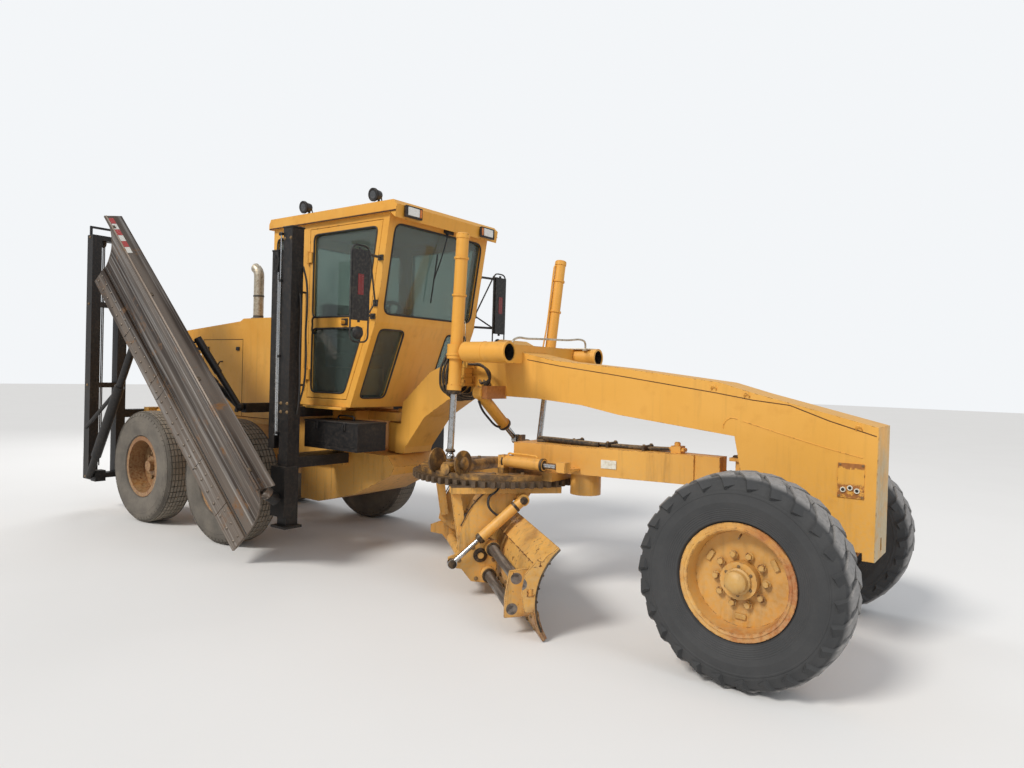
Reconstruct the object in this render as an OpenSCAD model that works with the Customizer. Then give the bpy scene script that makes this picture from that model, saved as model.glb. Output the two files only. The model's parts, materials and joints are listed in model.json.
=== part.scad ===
// Articulated motor grader with a side-stowed snow wing.
// X points forward, Y to the left and Z up. Places along X are counted from the front axle,
// and the whole machine is then moved so that the origin lies under its middle.

/* [Wheels] */
// Tyre radius out to the tips of the lugs
tyre_r = 635; // [600:5:640]
// Tyre width
tyre_w = 340; // [300:5:350]
// Height of the front tyres' lugs
lug_h = 20; // [8:1:30]
// Lugs on each side of a front tyre
lugs_a_side = 26; // [20:1:30]
// Width of one lug
lug_w = 84; // [60:1:90]
// Slant of a lug, from straight across the tread
lug_slant = 32; // [20:1:40]
// Radius of the rim's bead seat
rim_r = 318; // [300:2:330]
// Distance of a wheel's middle plane from the centreline
wheel_y = 985; // [970:5:1010]
// Front axle to the middle of the tandem
wheelbase = 6100; // [5950:10:6250]
// Distance between the two tandem axles
tandem_pitch = 1570; // [1450:10:1640]
// Radius of a wheel spindle
spindle_r = 40; // [30:1:50]

/* [Front frame] */
// Width of the gooseneck and nose
nose_w = 390; // [340:5:420]
// How far the nose reaches ahead of the front axle
nose_reach = 568; // [500:4:640]
// Articulation hinge ahead of the middle of the tandem
hinge_ahead = 2250; // [2220:5:2280]
// Radius of the hinge tongue
tongue_r = 140; // [120:2:145]
// Radius of the hinge pin
hinge_pin_r = 45; // [35:1:60]

/* [Front axle] */
// Distance of a kingpin from the centreline
kingpin_y = 770; // [760:2:776]
// Radius of a kingpin
kingpin_r = 25; // [18:1:30]
// Height of the wheel-lean pivots
lean_z = 500; // [480:2:510]
// Length of a steering arm
steer_arm = 230; // [200:5:250]
// Diameter of the tie rod
tie_rod_d = 44; // [30:2:50]

/* [Blade] */
// Length of the moldboard
blade_len = 3660; // [3050:10:3700]
// Height of the moldboard
blade_h = 610; // [560:5:640]
// Thickness of the moldboard plate
blade_t = 22; // [16:1:30]
// Height of the lowest edge above the ground
blade_clear = 18; // [15:1:60]
// Turn of the blade, right end leading
blade_turn = 49; // [46:1:52]
// How far the blade is shifted towards its left end
blade_shift = 130; // [0:5:160]
// Diameter of the two slide rails
rail_d = 76; // [60:2:84]
// Outer radius of the circle's teeth
circle_r = 770; // [740:5:780]
// Number of teeth on the circle
circle_teeth = 60; // [40:1:72]
// Circle centre behind the front axle
circle_back = 2540; // [2500:5:2560]
// Sideways place of the circle, to the left
circle_y = -80; // [-110:5:0]

/* [Cylinders] */
// Outer diameter of a lift cylinder barrel
lift_d = 105; // [90:1:120]
// Diameter of a lift rod
lift_rod_d = 55; // [40:1:64]
// Sideways place of a lift cylinder's upper pivot
lift_y = 700; // [680:5:720]
// Diameter of a saddle tube
saddle_d = 167; // [140:1:180]

/* [Cab] */
// Outer width of the cab
cab_w = 1400; // [1340:10:1440]
// Thickness of the cab walls
cab_wall = 50; // [40:1:60]
// Height of the cab floor's underside
cab_floor_z = 1450; // [1430:5:1470]
// Height of the roof's top
roof_z = 3335; // [3300:5:3380]
// Thickness of the roof
roof_t = 105; // [80:5:130]
// How far the roof hangs over the side walls
roof_lip = 30; // [10:2:50]
// Thickness of the glass
glass_t = 8; // [6:1:12]

/* [Rear frame] */
// Outer width across the frame rails
rail_span = 840; // [800:5:860]
// Width of one frame rail
rail_w = 120; // [100:5:140]
// Rear face of the machine behind the middle of the tandem
tail_back = 1950; // [1850:10:2020]
// Width of the engine hood
hood_w = 1000; // [940:10:1040]
// Thickness of the hood's panels
hood_wall = 25; // [15:1:40]

/* [Wing] */
// Length of the wing
wing_len = 3830; // [3500:10:3900]
// Height of the wing
wing_h = 890; // [840:5:920]
// Thickness of the wing plate
wing_t = 14; // [10:1:20]
// Rise of the stowed wing towards its heel
wing_rise = 42.6; // [40:0.1:45]
// Outward lean of the stowed wing
wing_lean = 11.7; // [8:0.1:14]
// Width of a front mast post
mast_w = 130; // [110:5:150]
// Height of the front mast
mast_top = 3100; // [2900:10:3200]

/* [Hidden] */
$fn = 48;
gap = 0.3;
run_fit = 0.05;
yellow = "#d99a2b";
black = "#1d1e20";
axle_z = tyre_r;
front_x = 0;
mid_x = -(wheelbase - tandem_pitch / 2);
rear_x = -(wheelbase + tandem_pitch / 2);
hinge_x = hinge_ahead - wheelbase;
// The rear body is drawn with the middle of its tandem here, and then moved to the wheelbase
drawn_mid = -6100;
rear_shift = -wheelbase - drawn_mid;
drawn_hinge = drawn_mid + hinge_ahead;
circle_x = -circle_back;
nose_half = nose_w / 2;
cab_half = cab_w / 2;
hood_half = hood_w / 2;
rail_out = rail_span / 2;
rail_in = rail_out - rail_w;
tail_x = drawn_mid - tail_back;
tyre_half = tyre_w / 2;
bead_half = 0.72 * tyre_half;
rim_flange = 28;
mast_reach = 140;

// Moves a piece from the front axle's frame to the machine's own frame
module placed() {
  translate([-centre_x, -centre_y, 0])
    children();
}

// Moves a piece of the rear body to its place behind the front axle
module rear_placed() {
  placed()
    translate([rear_shift, 0, 0])
      children();
}

// A box given by its corners
module box(x, y, z) {
  translate([x[0], y[0], z[0]])
    cube([x[1] - x[0], y[1] - y[0], z[1] - z[0]]);
}

// A plate whose outline is drawn in X and Z, from y[0] to y[1]
module side_plate(outline, y) {
  translate([0, y[1], 0])
    rotate([90, 0, 0])
      linear_extrude(y[1] - y[0])
        polygon(outline);
}

// A round bar between two points
module bar(a, b, d) {
  v = b - a;
  len = norm(v);
  translate(a)
    rotate([0, acos(v[2] / len), atan2(v[1], v[0])])
      cylinder(h = len, d = d);
}

// A round bar along X, Y or Z, centred on a point
module pin_x(at, d, l) {
  translate(at)
    rotate([0, 90, 0])
      cylinder(h = l, d = d, center = true);
}
module pin_y(at, d, l) {
  translate(at)
    rotate([90, 0, 0])
      cylinder(h = l, d = d, center = true);
}
module pin_z(at, d, l) {
  translate(at)
    cylinder(h = l, d = d, center = true);
}

// Half of the tyre's section, as radius and distance from the middle plane
function tyre_edge(r) = [
  [rim_r + gap, bead_half - gap],
  [rim_r + rim_flange + 3, bead_half - gap],
  [rim_r + rim_flange + 14, bead_half + 24],
  [(rim_r + r) / 2, tyre_half],
  [r - 70, tyre_half - 6],
  [r - 18, 0.86 * tyre_half],
  [r, 0.62 * tyre_half]
];

// One lug as radius and length along the bar, which slants back from the middle of the tread
lug_side = [
  [tyre_r - lug_h - 25, -4], [tyre_r - 2, -4], [tyre_r - 10, 124], [tyre_r - 32, 172],
  [tyre_r - 79, 197], [tyre_r - 96, 176]
];

module tread_lugs() {
  for (s = [-1, 1], i = [0 : lugs_a_side - 1])
    rotate([0, 0, (i + (s > 0 ? 0.5 : 0)) * 360 / lugs_a_side])
      rotate([s * lug_slant, 0, 0])
        mirror([0, 0, s > 0 ? 0 : 1])
          rotate([90, 0, 0])
            linear_extrude(lug_w, center = true)
              polygon(lug_side);
}

module tyre(x, side) {
  lugged = x == front_x;
  edge = tyre_edge(lugged ? tyre_r - lug_h : tyre_r);
  far = [for (i = [len(edge) - 1 : -1 : 0]) [edge[i][0], -edge[i][1]]];
  color("#2b2c2e")
    placed()
      translate([x, side * wheel_y, axle_z])
        rotate([90, 0, 0]) {
          rotate_extrude()
            polygon(concat(edge, far));
          if (lugged)
            tread_lugs();
        }
}

// Rim with a dished disc: dish is the disc's distance outwards from the middle plane
module rim(x, side, dish, hub_out, hub_in) {
  lip = bead_half + 12;
  color(yellow)
    placed()
      translate([x, side * wheel_y, axle_z])
        rotate([side * -90, 0, 0]) {
          difference() {
            union() {
              rotate_extrude()
                polygon([
                  [rim_r - 14, -bead_half], [rim_r, -bead_half], [rim_r, bead_half],
                  [rim_r + rim_flange, bead_half], [rim_r + rim_flange, lip], [rim_r - 20, lip],
                  [rim_r - 34, dish + 20], [70, dish + 20], [70, dish], [rim_r - 30, dish]
                ]);
              translate([0, 0, -hub_in])
                cylinder(h = hub_in + hub_out, r = 110);
              cylinder(h = hub_out + 45, r = 62);
              for (a = [0 : 36 : 324])
                rotate([0, 0, a])
                  translate([150, 0, dish])
                    cylinder(h = 45, r = 15);
            }
            translate([0, 0, -hub_in - 1])
              cylinder(h = hub_in + hub_out, r = spindle_r + gap);
          }
        }
}

module main_frame() {
  outline = [
    [nose_reach, 1530], [nose_reach, 670], [nose_reach - 75, 670], [nose_reach - 75, 720],
    [330, 720], [-70, 1040], [-310, 1170], [-360, 1410],
    [-1290, 1510], [-1630, 1570], [-2080, 1606], [-2720, 1618], [hinge_x + 790, 1560],
    [hinge_x + 480, 1370], [hinge_x + 235, 1060], [hinge_x + 215, 1000], [hinge_x + 100, 1000],
    [hinge_x + 100, 1290], [hinge_x + 170, 1290], [hinge_x + 190, 1500], [hinge_x + 550, 1810],
    [-2470, 2110], [-2210, 1990],
    [-1900, 1930], [-1300, 1880], [-490, 1790], [-230, 1720]
  ];
  color(yellow)
    placed()
      difference() {
        union() {
          difference() {
            side_plate(outline, [-nose_half, nose_half]);
            // Pocket for the drawbar's yaw plates
            pin_z([yaw_x, 0, 1080], 136, 180);
          }
          pin_z([hinge_x, 0, 1145], 2 * tongue_r, 290);
          box([hinge_x, hinge_x + 200], [-tongue_r, tongue_r], [1000, 1290]);
          // Bolster over the axle
          box([-95, 95], [-130, 130], [740 + gap, 1060]);
          // Lug of the drawbar's yaw pin, and the block behind the axle that carries it
          box([-225, -120], [-75, 75], [1040, 1150]);
          pin_x([-100, 0, 1080], 150, 150);
          box([yaw_x, -150], [-55, 55], [1033 + gap, 1127 - gap]);
          pin_z([yaw_x, 0, 1080], 110, 94 - 2 * gap);
          // Ear of the centre-shift cylinder
          box([shift_top[0] + 58, shift_top[0] + 110], [-465, -nose_half + 10], [1590, 1700]);
          pin_x(shift_top + [52, 0, 0], 60, 80);
          // Plate of the hose ports on the right of the nose
          box([nose_reach - 235, nose_reach - 75], [-nose_half - 6, -nose_half + 5], [1065, 1290]);
        }
        // Slot in the nose's front plate
        box([nose_reach - 60, nose_reach + 1], [-22, 22], [715, 800]);
        pin_z([hinge_x, 0, 1145], 2 * (hinge_pin_r + run_fit), 400);
        pin_z([yaw_x, 0, 1080], 60, 200);
      }
}

// Cross beam and tubes that carry the lift cylinders
module lift_saddle() {
  color(yellow)
    placed() {
      difference() {
        box([-2420, -2230], [-lift_y + 40, lift_y - 40], [1900, 2060]);
        side_plate([
          [-3300, 1810], [-2470, 2110 + gap], [-2210, 1990 + gap], [-1900, 1930], [-1900, 1500],
          [-3300, 1500]
        ], [-nose_half - gap, nose_half + gap]);
      }
      for (s = [-1, 1]) {
        difference() {
          pin_x([-2225, s * lift_y, 1980], saddle_d, 450);
          pin_x([-2040, s * lift_y, 1980], saddle_d - 30, 200);
        }
        pin_x([-2475, s * lift_y, 1980], 60, 60);
      }
    }
}

// Valve bank on a shelf at the right of the frame, behind the lift cylinder
module valve_bank() {
  color(yellow)
    placed() {
      box([-3010, -2750], [-345, -nose_half - gap], [1690, 1715]);
      box([-3010, -2750], [-nose_half - 15, -nose_half - gap], [1690, 1790]);
      box([-3000, -2760], [-325, -225], [1710, 1800]);
      for (i = [0 : 4]) {
        box([-2996 + 48 * i, -2960 + 48 * i], [-335, -215], [1710, 1850]);
        pin_z([-2978 + 48 * i, -275, 1870], 26, 60);
      }
    }
}

module front_axle() {
  color(yellow)
    placed()
      difference() {
        union() {
          box([-80, 80], [-585, 585], [560, 740]);
          for (s = [-1, 1]) {
            box([-60, 60], [s > 0 ? 590 : -kingpin_y, s > 0 ? kingpin_y : -590],
                [lean_z - 45, lean_z + 30]);
            pin_x([0, s * kingpin_y, lean_z], 90, 120);
            box([-60, 60], [s > 0 ? 560 : -620, s > 0 ? 620 : -560], [lean_z - 45, 560]);
          }
        }
        for (s = [-1, 1])
          pin_x([0, s * kingpin_y, lean_z], 2 * (25 + run_fit), 200);
      }
}

// Yoke that leans on the axle's end and carries the kingpin
module lean_bracket(s) {
  y = s * kingpin_y;
  color(yellow)
    placed() {
      for (x = [-90, 66])
        translate([x, y, lean_z])
          rotate([0, 90, 0])
            cylinder(h = 24, r = 45);
      for (x = [-90, 66])
        box([x, x + 24], [y - 45, y + 45], [lean_z, 588]);
      box([-90, 90], s > 0 ? [y - 60, y + 30] : [y - 30, y + 60], [564, 588]);
      pin_x([0, y, lean_z], 50, 180);
      box([-32, 32], s > 0 ? [y - 90, y - 58] : [y + 58, y + 90], [564, 810]);
      box([-45, 45], s > 0 ? [y - 90, y + 30] : [y - 30, y + 90], [783, 810]);
      pin_z([0, y, 677], 2 * kingpin_r, 220);
      pin_x([-95, y, 790], 30, 110);
    }
}

module lean_bar() {
  ends = kingpin_y;
  color(yellow)
    placed()
      difference() {
        union() {
          box([-140, -110], [-ends, ends], [765, 815]);
          for (s = [-1, 1])
            pin_x([-125, s * ends, 790], 64, 30);
        }
        for (s = [-1, 1])
          pin_x([-125, s * ends, 790], 2 * (15 + run_fit), 60);
      }
}

module knuckle(s) {
  y = s * kingpin_y;
  color(yellow)
    placed() {
      difference() {
        union() {
          pin_z([0, y, 685.5], 100, 165);
          side_plate([[-40, 640], [-40, 690], [-steer_arm - 25, 560], [-steer_arm - 25, 505],
                      [-steer_arm + 40, 505], [-100, 606], [-40, 606]], [y - 22, y + 22]);
          translate([-steer_arm, y, lean_z])
            sphere(r = 25);
          translate([0, y, axle_z])
            rotate([s * -90, 0, 0]) {
              cylinder(h = wheel_y - kingpin_y + 60, r = spindle_r);
              translate([0, 0, 66])
                cylinder(h = 24, r = 48);
            }
        }
        pin_z([0, y, 692], 2 * (kingpin_r + run_fit), 400);
      }
    }
}

module tie_rod() {
  top = lean_z - 25 - gap;
  color(black)
    placed() {
      bar([-steer_arm, -kingpin_y, top - tie_rod_d / 2], [-steer_arm, kingpin_y, top - tie_rod_d / 2],
          tie_rod_d - 8);
      for (s = [-1, 1])
        pin_z([-steer_arm, s * kingpin_y, top - tie_rod_d / 2], 58, tie_rod_d);
    }
}

// Lift cylinders: upper pivot, lower stud and the line between them
lift_x = -2550;
lift_z = 1980;
stud_x = -2560;
stud_z = 1110;
stud_span = 650;
function lift_top(s) = [lift_x, s * lift_y, lift_z];
function lift_stud(s) = [stud_x, circle_y + s * stud_span, stud_z];
function lift_dir(s) = (lift_top(s) - lift_stud(s)) / norm(lift_top(s) - lift_stud(s));
lift_start = 550;
lift_end = 1840;
rod_depth = 450;

module lift_barrel(s) {
  foot = lift_stud(s);
  u = lift_dir(s);
  color(yellow)
    placed()
      difference() {
        union() {
          bar(foot + lift_start * u, foot + lift_end * u, lift_d);
          bar(foot + lift_start * u, foot + (lift_start + 40) * u, lift_d + 16);
          bar(foot + (lift_end - 25) * u, foot + (lift_end + 6) * u, lift_d + 10);
          bar(lift_top(s) - 60 * u, lift_top(s) + 60 * u, lift_d + 45);
          translate([lift_x, s * lift_y, lift_z])
            rotate([0, 90, 0])
              cylinder(h = 100 - gap, d = 90);
        }
        bar(foot + (lift_start - 1) * u, foot + (lift_end - 60) * u, lift_rod_d + 2 * gap);
        pin_x([lift_x + 100, s * lift_y, lift_z], 60 + 2 * run_fit, 111);
      }
}

module lift_rod(s) {
  foot = lift_stud(s);
  u = lift_dir(s);
  color("#b9bcc0")
    placed() {
      bar(foot, foot + (lift_start + rod_depth) * u, lift_rod_d);
      translate(foot)
        sphere(r = 38);
    }
}

// Centre-shift cylinder, in a plane across the machine
shift_x = -2490;
shift_top = [shift_x - 20, -430, 1640];
shift_eye = [shift_x - 20, 120, 1215];
shift_dir = (shift_eye - shift_top) / norm(shift_eye - shift_top);
shift_len = norm(shift_eye - shift_top);

module shift_barrel() {
  color(yellow)
    placed()
      difference() {
        union() {
          bar(shift_top, shift_top + 480 * shift_dir, 100);
          bar(shift_top + 445 * shift_dir, shift_top + 485 * shift_dir, 114);
          pin_x(shift_top + [14, 0, 0], 110, 88 - 2 * gap);
        }
        bar(shift_top + 75 * shift_dir, shift_top + 490 * shift_dir, 50 + 2 * gap);
        pin_x(shift_top + [14, 0, 0], 60 + 2 * run_fit, 150);
      }
}

module shift_rod() {
  color("#b9bcc0")
    placed() {
      bar(shift_top + 235 * shift_dir, shift_eye, 50);
      pin_x(shift_eye + [6, 0, 0], 84, 52 - 2 * gap);
    }
}

// Drawbar: yaw pin under the nose, then the pitch pin
yaw_x = -300;
pitch_x = -430;
ball_z = 1080;
circle_top = 940;
ring_z = [circle_top + gap, 985];
function bar_off(x) = circle_y * (x - pitch_x) / (circle_x - pitch_x);

module drawbar_ball() {
  color(black)
    placed() {
      pin_z([yaw_x, 0, ball_z], 60 - 2 * run_fit, 160);
      for (z = [1035 - 12, 1125 + 12])
        pin_z([yaw_x, 0, z], 110, 20);
      box([-400, -366], [-38, 38], [1013, 1225]);
      box([-440, -360], [-60, 60], [1215, 1240]);
      for (z = [1013, 1127])
        box([-400, yaw_x], [-38, 38], [z, z + 20]);
      box([-430, -400], [-38, 38], [1045, 1115]);
      pin_y([pitch_x, 0, ball_z], 80, 76);
      pin_y([pitch_x, 0, ball_z], 50, 150);
    }
}

module drawbar() {
  beam = [
    [-560, 72], [-700, 78], [-1250, 150], [-2200, 260], [-2200, -260], [-1250, -150], [-700, -78],
    [-560, -72]
  ];
  color(yellow)
    placed()
      difference() {
        union() {
          translate([0, 0, 1010])
            linear_extrude(225)
              polygon([for (p = beam) if (p[0] < -600) [p[0], p[1] + bar_off(p[0])]]);
          box([-710, -505], [-72, 70], [1030, 1235]);
          box([-510, -500], [-72, 70], [1030, 1130]);
          // Manifold of the circle's hoses
          box([-900, -820], [bar_off(-860) - 45, bar_off(-860) + 45], [1225, 1290]);
          for (y = [-72, 42])
            box([-505, pitch_x], [y, y + 30], [1040, 1120]);
          for (y = [-72, 42])
            translate([pitch_x, y, ball_z])
              rotate([-90, 0, 0])
                cylinder(h = 30, r = 45);
          // Ring plate over the circle, and the cross tube with the lift studs
          translate([circle_x, circle_y, ring_z[0]])
            difference() {
              cylinder(h = ring_z[1] - ring_z[0], r = 700);
              translate([0, 0, -1])
                cylinder(h = 60, r = 520);
            }
          box([-2300, -1800], [circle_y - 260, circle_y + 260], [ring_z[0], 1012]);
          translate([stud_x, circle_y, 1010])
            rotate([90, 0, 0])
              cylinder(h = 2 * stud_span + 120, d = 100, center = true);
          for (s = [-1, 1]) {
            stud = lift_stud(s);
            pin_z([stud_x, stud[1], 1024], 90, 62);
            for (x = [-142, 142])
              pin_x([stud_x + x, stud[1], 1066], 208, 14);
          }
          // Lug of the centre-shift cylinder, ahead of its eye
          box([shift_eye[0] + 52, shift_eye[0] + 82], [80, 160], [1000, 1255]);
          box([stud_x, shift_eye[0] + 82], [80, 160], [1000, 1050]);
          // Pinion housing at the front of the circle
          translate([circle_x + circle_r + 135, circle_y, 835])
            cylinder(h = 180, r = 126);
          // Circle-turn cylinders
          for (y = [-345, 345]) {
            pin_x([-2030, circle_y + y, 1080], 96, 420);
            pin_x([-1740, circle_y + y, 1080], 46, 220);
            box([-2260, -2200], [circle_y + y - 40, circle_y + y + 40], [ring_z[0], 1130]);
            box([-1680, -1600], [circle_y + y - 45, circle_y + y + 45], [1040, 1120]);
            box([-1680, -1600], [circle_y + min(y, 0), circle_y + max(y, 0)], [1040, 1060]);
            pin_x([-2225, circle_y + y, 1080], 60, 60);
          }
        }
        pin_y([pitch_x, 0, ball_z], 50 + 2 * run_fit, 300);
      }
}

// Moves a piece drawn square to the blade to the circle's place and turn
module at_circle() {
  placed()
    translate([circle_x, circle_y, 0])
      rotate([0, 0, blade_turn])
        children();
}

tilt_at = [-270, 340];
tilt_top = [60, 790];
tilt_eye = [-505, 290];
arm_y = 600;

module blade_circle() {
  pitch = 360 / circle_teeth;
  root = circle_r - 42;
  color("#3b352c")
    at_circle() {
      translate([0, 0, circle_top - 50])
        linear_extrude(50)
          difference() {
            polygon([
              for (i = [0 : circle_teeth - 1], k = [[0.0, 0], [0.2, 0], [0.3, 1], [0.7, 1], [0.8, 0]])
                (k[1] == 1 ? circle_r : root) * [cos((i + k[0]) * pitch), sin((i + k[0]) * pitch)]
            ]);
            circle(r = 630, $fn = 96);
          }
      for (s = [-1, 1]) {
        side_plate([
          [-460, 390], [-420, 570], [-330, 740], [-200, 870], [120, 870], [20, 800], [-110, 620],
          [-190, 490], [-236, 420], [-212, 340], [-232, 290], [-270, 272], [-340, 290]
        ], [s * arm_y - 15, s * arm_y + 15]);
        box([-520, 395], [s * arm_y - 60, s * arm_y + 60], [835, 900]);
        side_plate([[-515, 860], [-435, 860], [-370, 440], [-445, 430]],
                   s > 0 ? [arm_y - 55, arm_y - 5] : [5 - arm_y, 55 - arm_y]);
        translate([tilt_at[0], s * arm_y, tilt_at[1]])
          rotate([90, 0, 0])
            cylinder(h = 40, d = 110, center = true);
      }
      // Pin of the blade's tilt, on both arms
      for (s = [-1, 1])
        translate([tilt_at[0], s * (arm_y + 40), tilt_at[1]])
          rotate([90, 0, 0])
            cylinder(h = 80, d = 50, center = true);
      // Ear of the tilt cylinder
      side_plate([[0, 780], [60, 860], [160, 860], [90, 750], [30, 750]],
                 [-arm_y - 30, -arm_y - 10]);
      translate([tilt_top[0], -arm_y - 70, tilt_top[1]])
        rotate([90, 0, 0])
          cylinder(h = 126, d = 40, center = true);
    }
}

upper_rail = [-178, 400];
lower_rail = [-205, 190];

module blade_bracket() {
  color(yellow)
    at_circle() {
      difference() {
        union() {
          for (s = [-1, 1]) {
            y0 = s > 0 ? arm_y + 22 : -arm_y - 52;
            side_plate([
              [-530, 255], [-530, 325], [-400, 370], [-330, 430], [-230, 465], [-130, 455],
              [-125, 330], [-145, 130], [-230, 115], [-340, 130], [-420, 230]
            ], [y0, y0 + 30]);
            for (rail = [upper_rail, lower_rail])
              translate([rail[0], s * (arm_y + 71), rail[1]])
                rotate([90, 0, 0])
                  cylinder(h = 98, d = rail_d + 44, center = true);
          }
          // Tube that ties both brackets together
          translate([-330, 0, 190])
            rotate([90, 0, 0])
              cylinder(h = 2 * arm_y + 60, d = 90, center = true);
        }
        for (s = [-1, 1], rail = [upper_rail, lower_rail])
          translate([rail[0], s * (arm_y + 60), rail[1]])
            rotate([90, 0, 0])
              cylinder(h = 400, d = rail_d + 2 * gap, center = true);
        for (s = [-1, 1])
          translate([tilt_at[0], s * arm_y, tilt_at[1]])
            rotate([90, 0, 0])
              cylinder(h = 300, d = 50 + 2 * run_fit, center = true);
      }
    }
}

tilt_cyl_y = -arm_y - 100;
tilt_a = [tilt_top[0], tilt_cyl_y, tilt_top[1]];
tilt_b = [tilt_eye[0], tilt_cyl_y, tilt_eye[1]];
tilt_dir = (tilt_b - tilt_a) / norm(tilt_b - tilt_a);

module tilt_barrel() {
  color(yellow)
    at_circle()
      difference() {
        union() {
          bar(tilt_a, tilt_a + 470 * tilt_dir, 84);
          translate(tilt_a)
            rotate([90, 0, 0])
              cylinder(h = 50, d = 96, center = true);
        }
        bar(tilt_a + 100 * tilt_dir, tilt_a + 480 * tilt_dir, 40 + 2 * gap);
        translate(tilt_a)
          rotate([90, 0, 0])
            cylinder(h = 120, d = 40 + 2 * run_fit, center = true);
      }
}

module tilt_rod() {
  color("#b9bcc0")
    at_circle() {
      bar(tilt_a + 280 * tilt_dir, tilt_b, 40);
      translate(tilt_b)
        rotate([90, 0, 0])
          cylinder(h = 50, d = 76, center = true);
    }
}

// Front face of the moldboard: an arc from the lower edge to the top edge
blade_arc_r = 480;
blade_low = [0, blade_clear];
blade_top = [90, blade_clear + blade_h];
blade_half = norm(blade_top - blade_low) / 2;
blade_mid = (blade_low + blade_top) / 2;
blade_n = [blade_top[1] - blade_low[1], blade_low[0] - blade_top[0]] / (2 * blade_half);
blade_c = blade_mid + sqrt(pow(blade_arc_r, 2) - pow(blade_half, 2)) * blade_n;
function blade_angle(p) = (atan2(p[1] - blade_c[1], p[0] - blade_c[0]) + 360) % 360;
function blade_arc(r, n) = [
  for (i = [0 : n])
    let (a = blade_angle(blade_low) + (blade_angle(blade_top) - blade_angle(blade_low)) * i / n)
      blade_c + r * [cos(a), sin(a)]
];
blade_ends = [blade_shift - blade_len / 2, blade_shift + blade_len / 2];

module moldboard() {
  front = blade_arc(blade_arc_r, 10);
  back = blade_arc(blade_arc_r + blade_t, 10);
  core = blade_arc(blade_arc_r + blade_t / 2, 10);
  edge = blade_arc(blade_arc_r - 16, 10);
  rail_ends = [blade_ends[0] + 160, blade_ends[1] - 160];
  color(yellow)
    at_circle() {
      side_plate(concat(front, [for (i = [10 : -1 : 0]) back[i]]), blade_ends);
      // Cutting edge on the lower front
      side_plate(concat([for (i = [0 : 3]) edge[i]], [for (i = [3 : -1 : 0]) core[i]]),
                 [blade_ends[0] + 5, blade_ends[1] - 5]);
      for (rail = [upper_rail, lower_rail])
        translate([rail[0], rail_ends[0], rail[1]])
          rotate([-90, 0, 0])
            cylinder(h = rail_ends[1] - rail_ends[0], d = rail_d);
      for (y = rail_ends)
        side_plate(concat([[-255, 130], [-255, 260], [-225, 450]], [for (i = [7 : -1 : 2]) core[i]]),
                   [y - 15, y + 15]);
      // Stiffener plates behind both ends, with a square hole
      for (y = [blade_ends[0], blade_ends[1] - 16])
        difference() {
          side_plate(concat([[-150, 210], [-175, 330], [-150, 470], [-70, 560]],
                            [for (i = [8 : -1 : 3]) core[i]]), [y, y + 16]);
          side_plate([[-135, 315], [-135, 365], [-95, 365], [-95, 315]], [y - 5, y + 21]);
        }
      // Stiffener along the top of the back
      side_plate(concat([[-70, 505], [0, 590]], [for (i = [10 : -1 : 8]) core[i]]), blade_ends);
    }
}

rail_z = [850, 1180];
ear_low = [880, 1000 - 12];
ear_high = [1290 + 12, 1390];

module rear_frame() {
  belly = [
    [-3700, 985], [-3600, 880], [-3640, 800], [-4130, 560], [-4700, 420], [-5000, 420], [-5000, 850],
    [-4250, 985]
  ];
  color(yellow)
    rear_placed() {
      for (s = [-1, 1])
        box([tail_x, -4250], s > 0 ? [rail_in, rail_out] : [-rail_out, -rail_in], rail_z);
      side_plate(belly, [-350, 350]);
      // Fork and pin of the articulation hinge
      pin_z([drawn_hinge, 0, 934], 2 * tongue_r, 105);
      pin_z([drawn_hinge, 0, (ear_high[0] + ear_high[1]) / 2], 2 * tongue_r, ear_high[1] - ear_high[0]);
      box([-4400, drawn_hinge], [-tongue_r, tongue_r], ear_high);
      box([-4420, -4200], [-rail_in - 20, rail_in + 20], [980, 1390]);
      pin_z([drawn_hinge, 0, 1145], 2 * hinge_pin_r, 560);
      // Cab base and cross members
      box([-5080, -4420], [-rail_out, rail_out], [1180, cab_floor_z]);
      box([-5600, -5400], [-rail_in, rail_in], rail_z);
      box([tail_x, tail_x + 120], [-520, 520], [640, 1250]);
      // Axle saddles under the rails
      for (s = [-1, 1])
        box([drawn_mid - 220, drawn_mid + 220], s > 0 ? [rail_in, rail_out] : [-rail_out, -rail_in],
            [740, rail_z[0]]);
      pin_y([drawn_mid, 0, 690], 300, 2 * rail_out);
      pin_y([drawn_mid, 0, 690], 240, 1130);
    }
}

module tandem_cases() {
  color(yellow)
    placed()
      for (s = [-1, 1]) {
        y = s > 0 ? [565, 775] : [-775, -565];
        box([rear_x, mid_x], y, [axle_z - 165, axle_z + 165]);
        for (x = [rear_x, mid_x])
          pin_y([x, (y[0] + y[1]) / 2, axle_z], 330, 210);
        for (x = [rear_x, mid_x])
          translate([x, s * 775, axle_z])
            rotate([s * -90, 0, 0]) {
              cylinder(h = wheel_y - 775 + 10, r = spindle_r);
              cylinder(h = 25, r = 100);
            }
      }
}

module engine() {
  color("#4a4a48")
    rear_placed()
      box([-6950, -5750], [-330, 330], [rail_z[1], 1900]);
}

hood_nose = -5150;
hood_tail = -7720;

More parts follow.
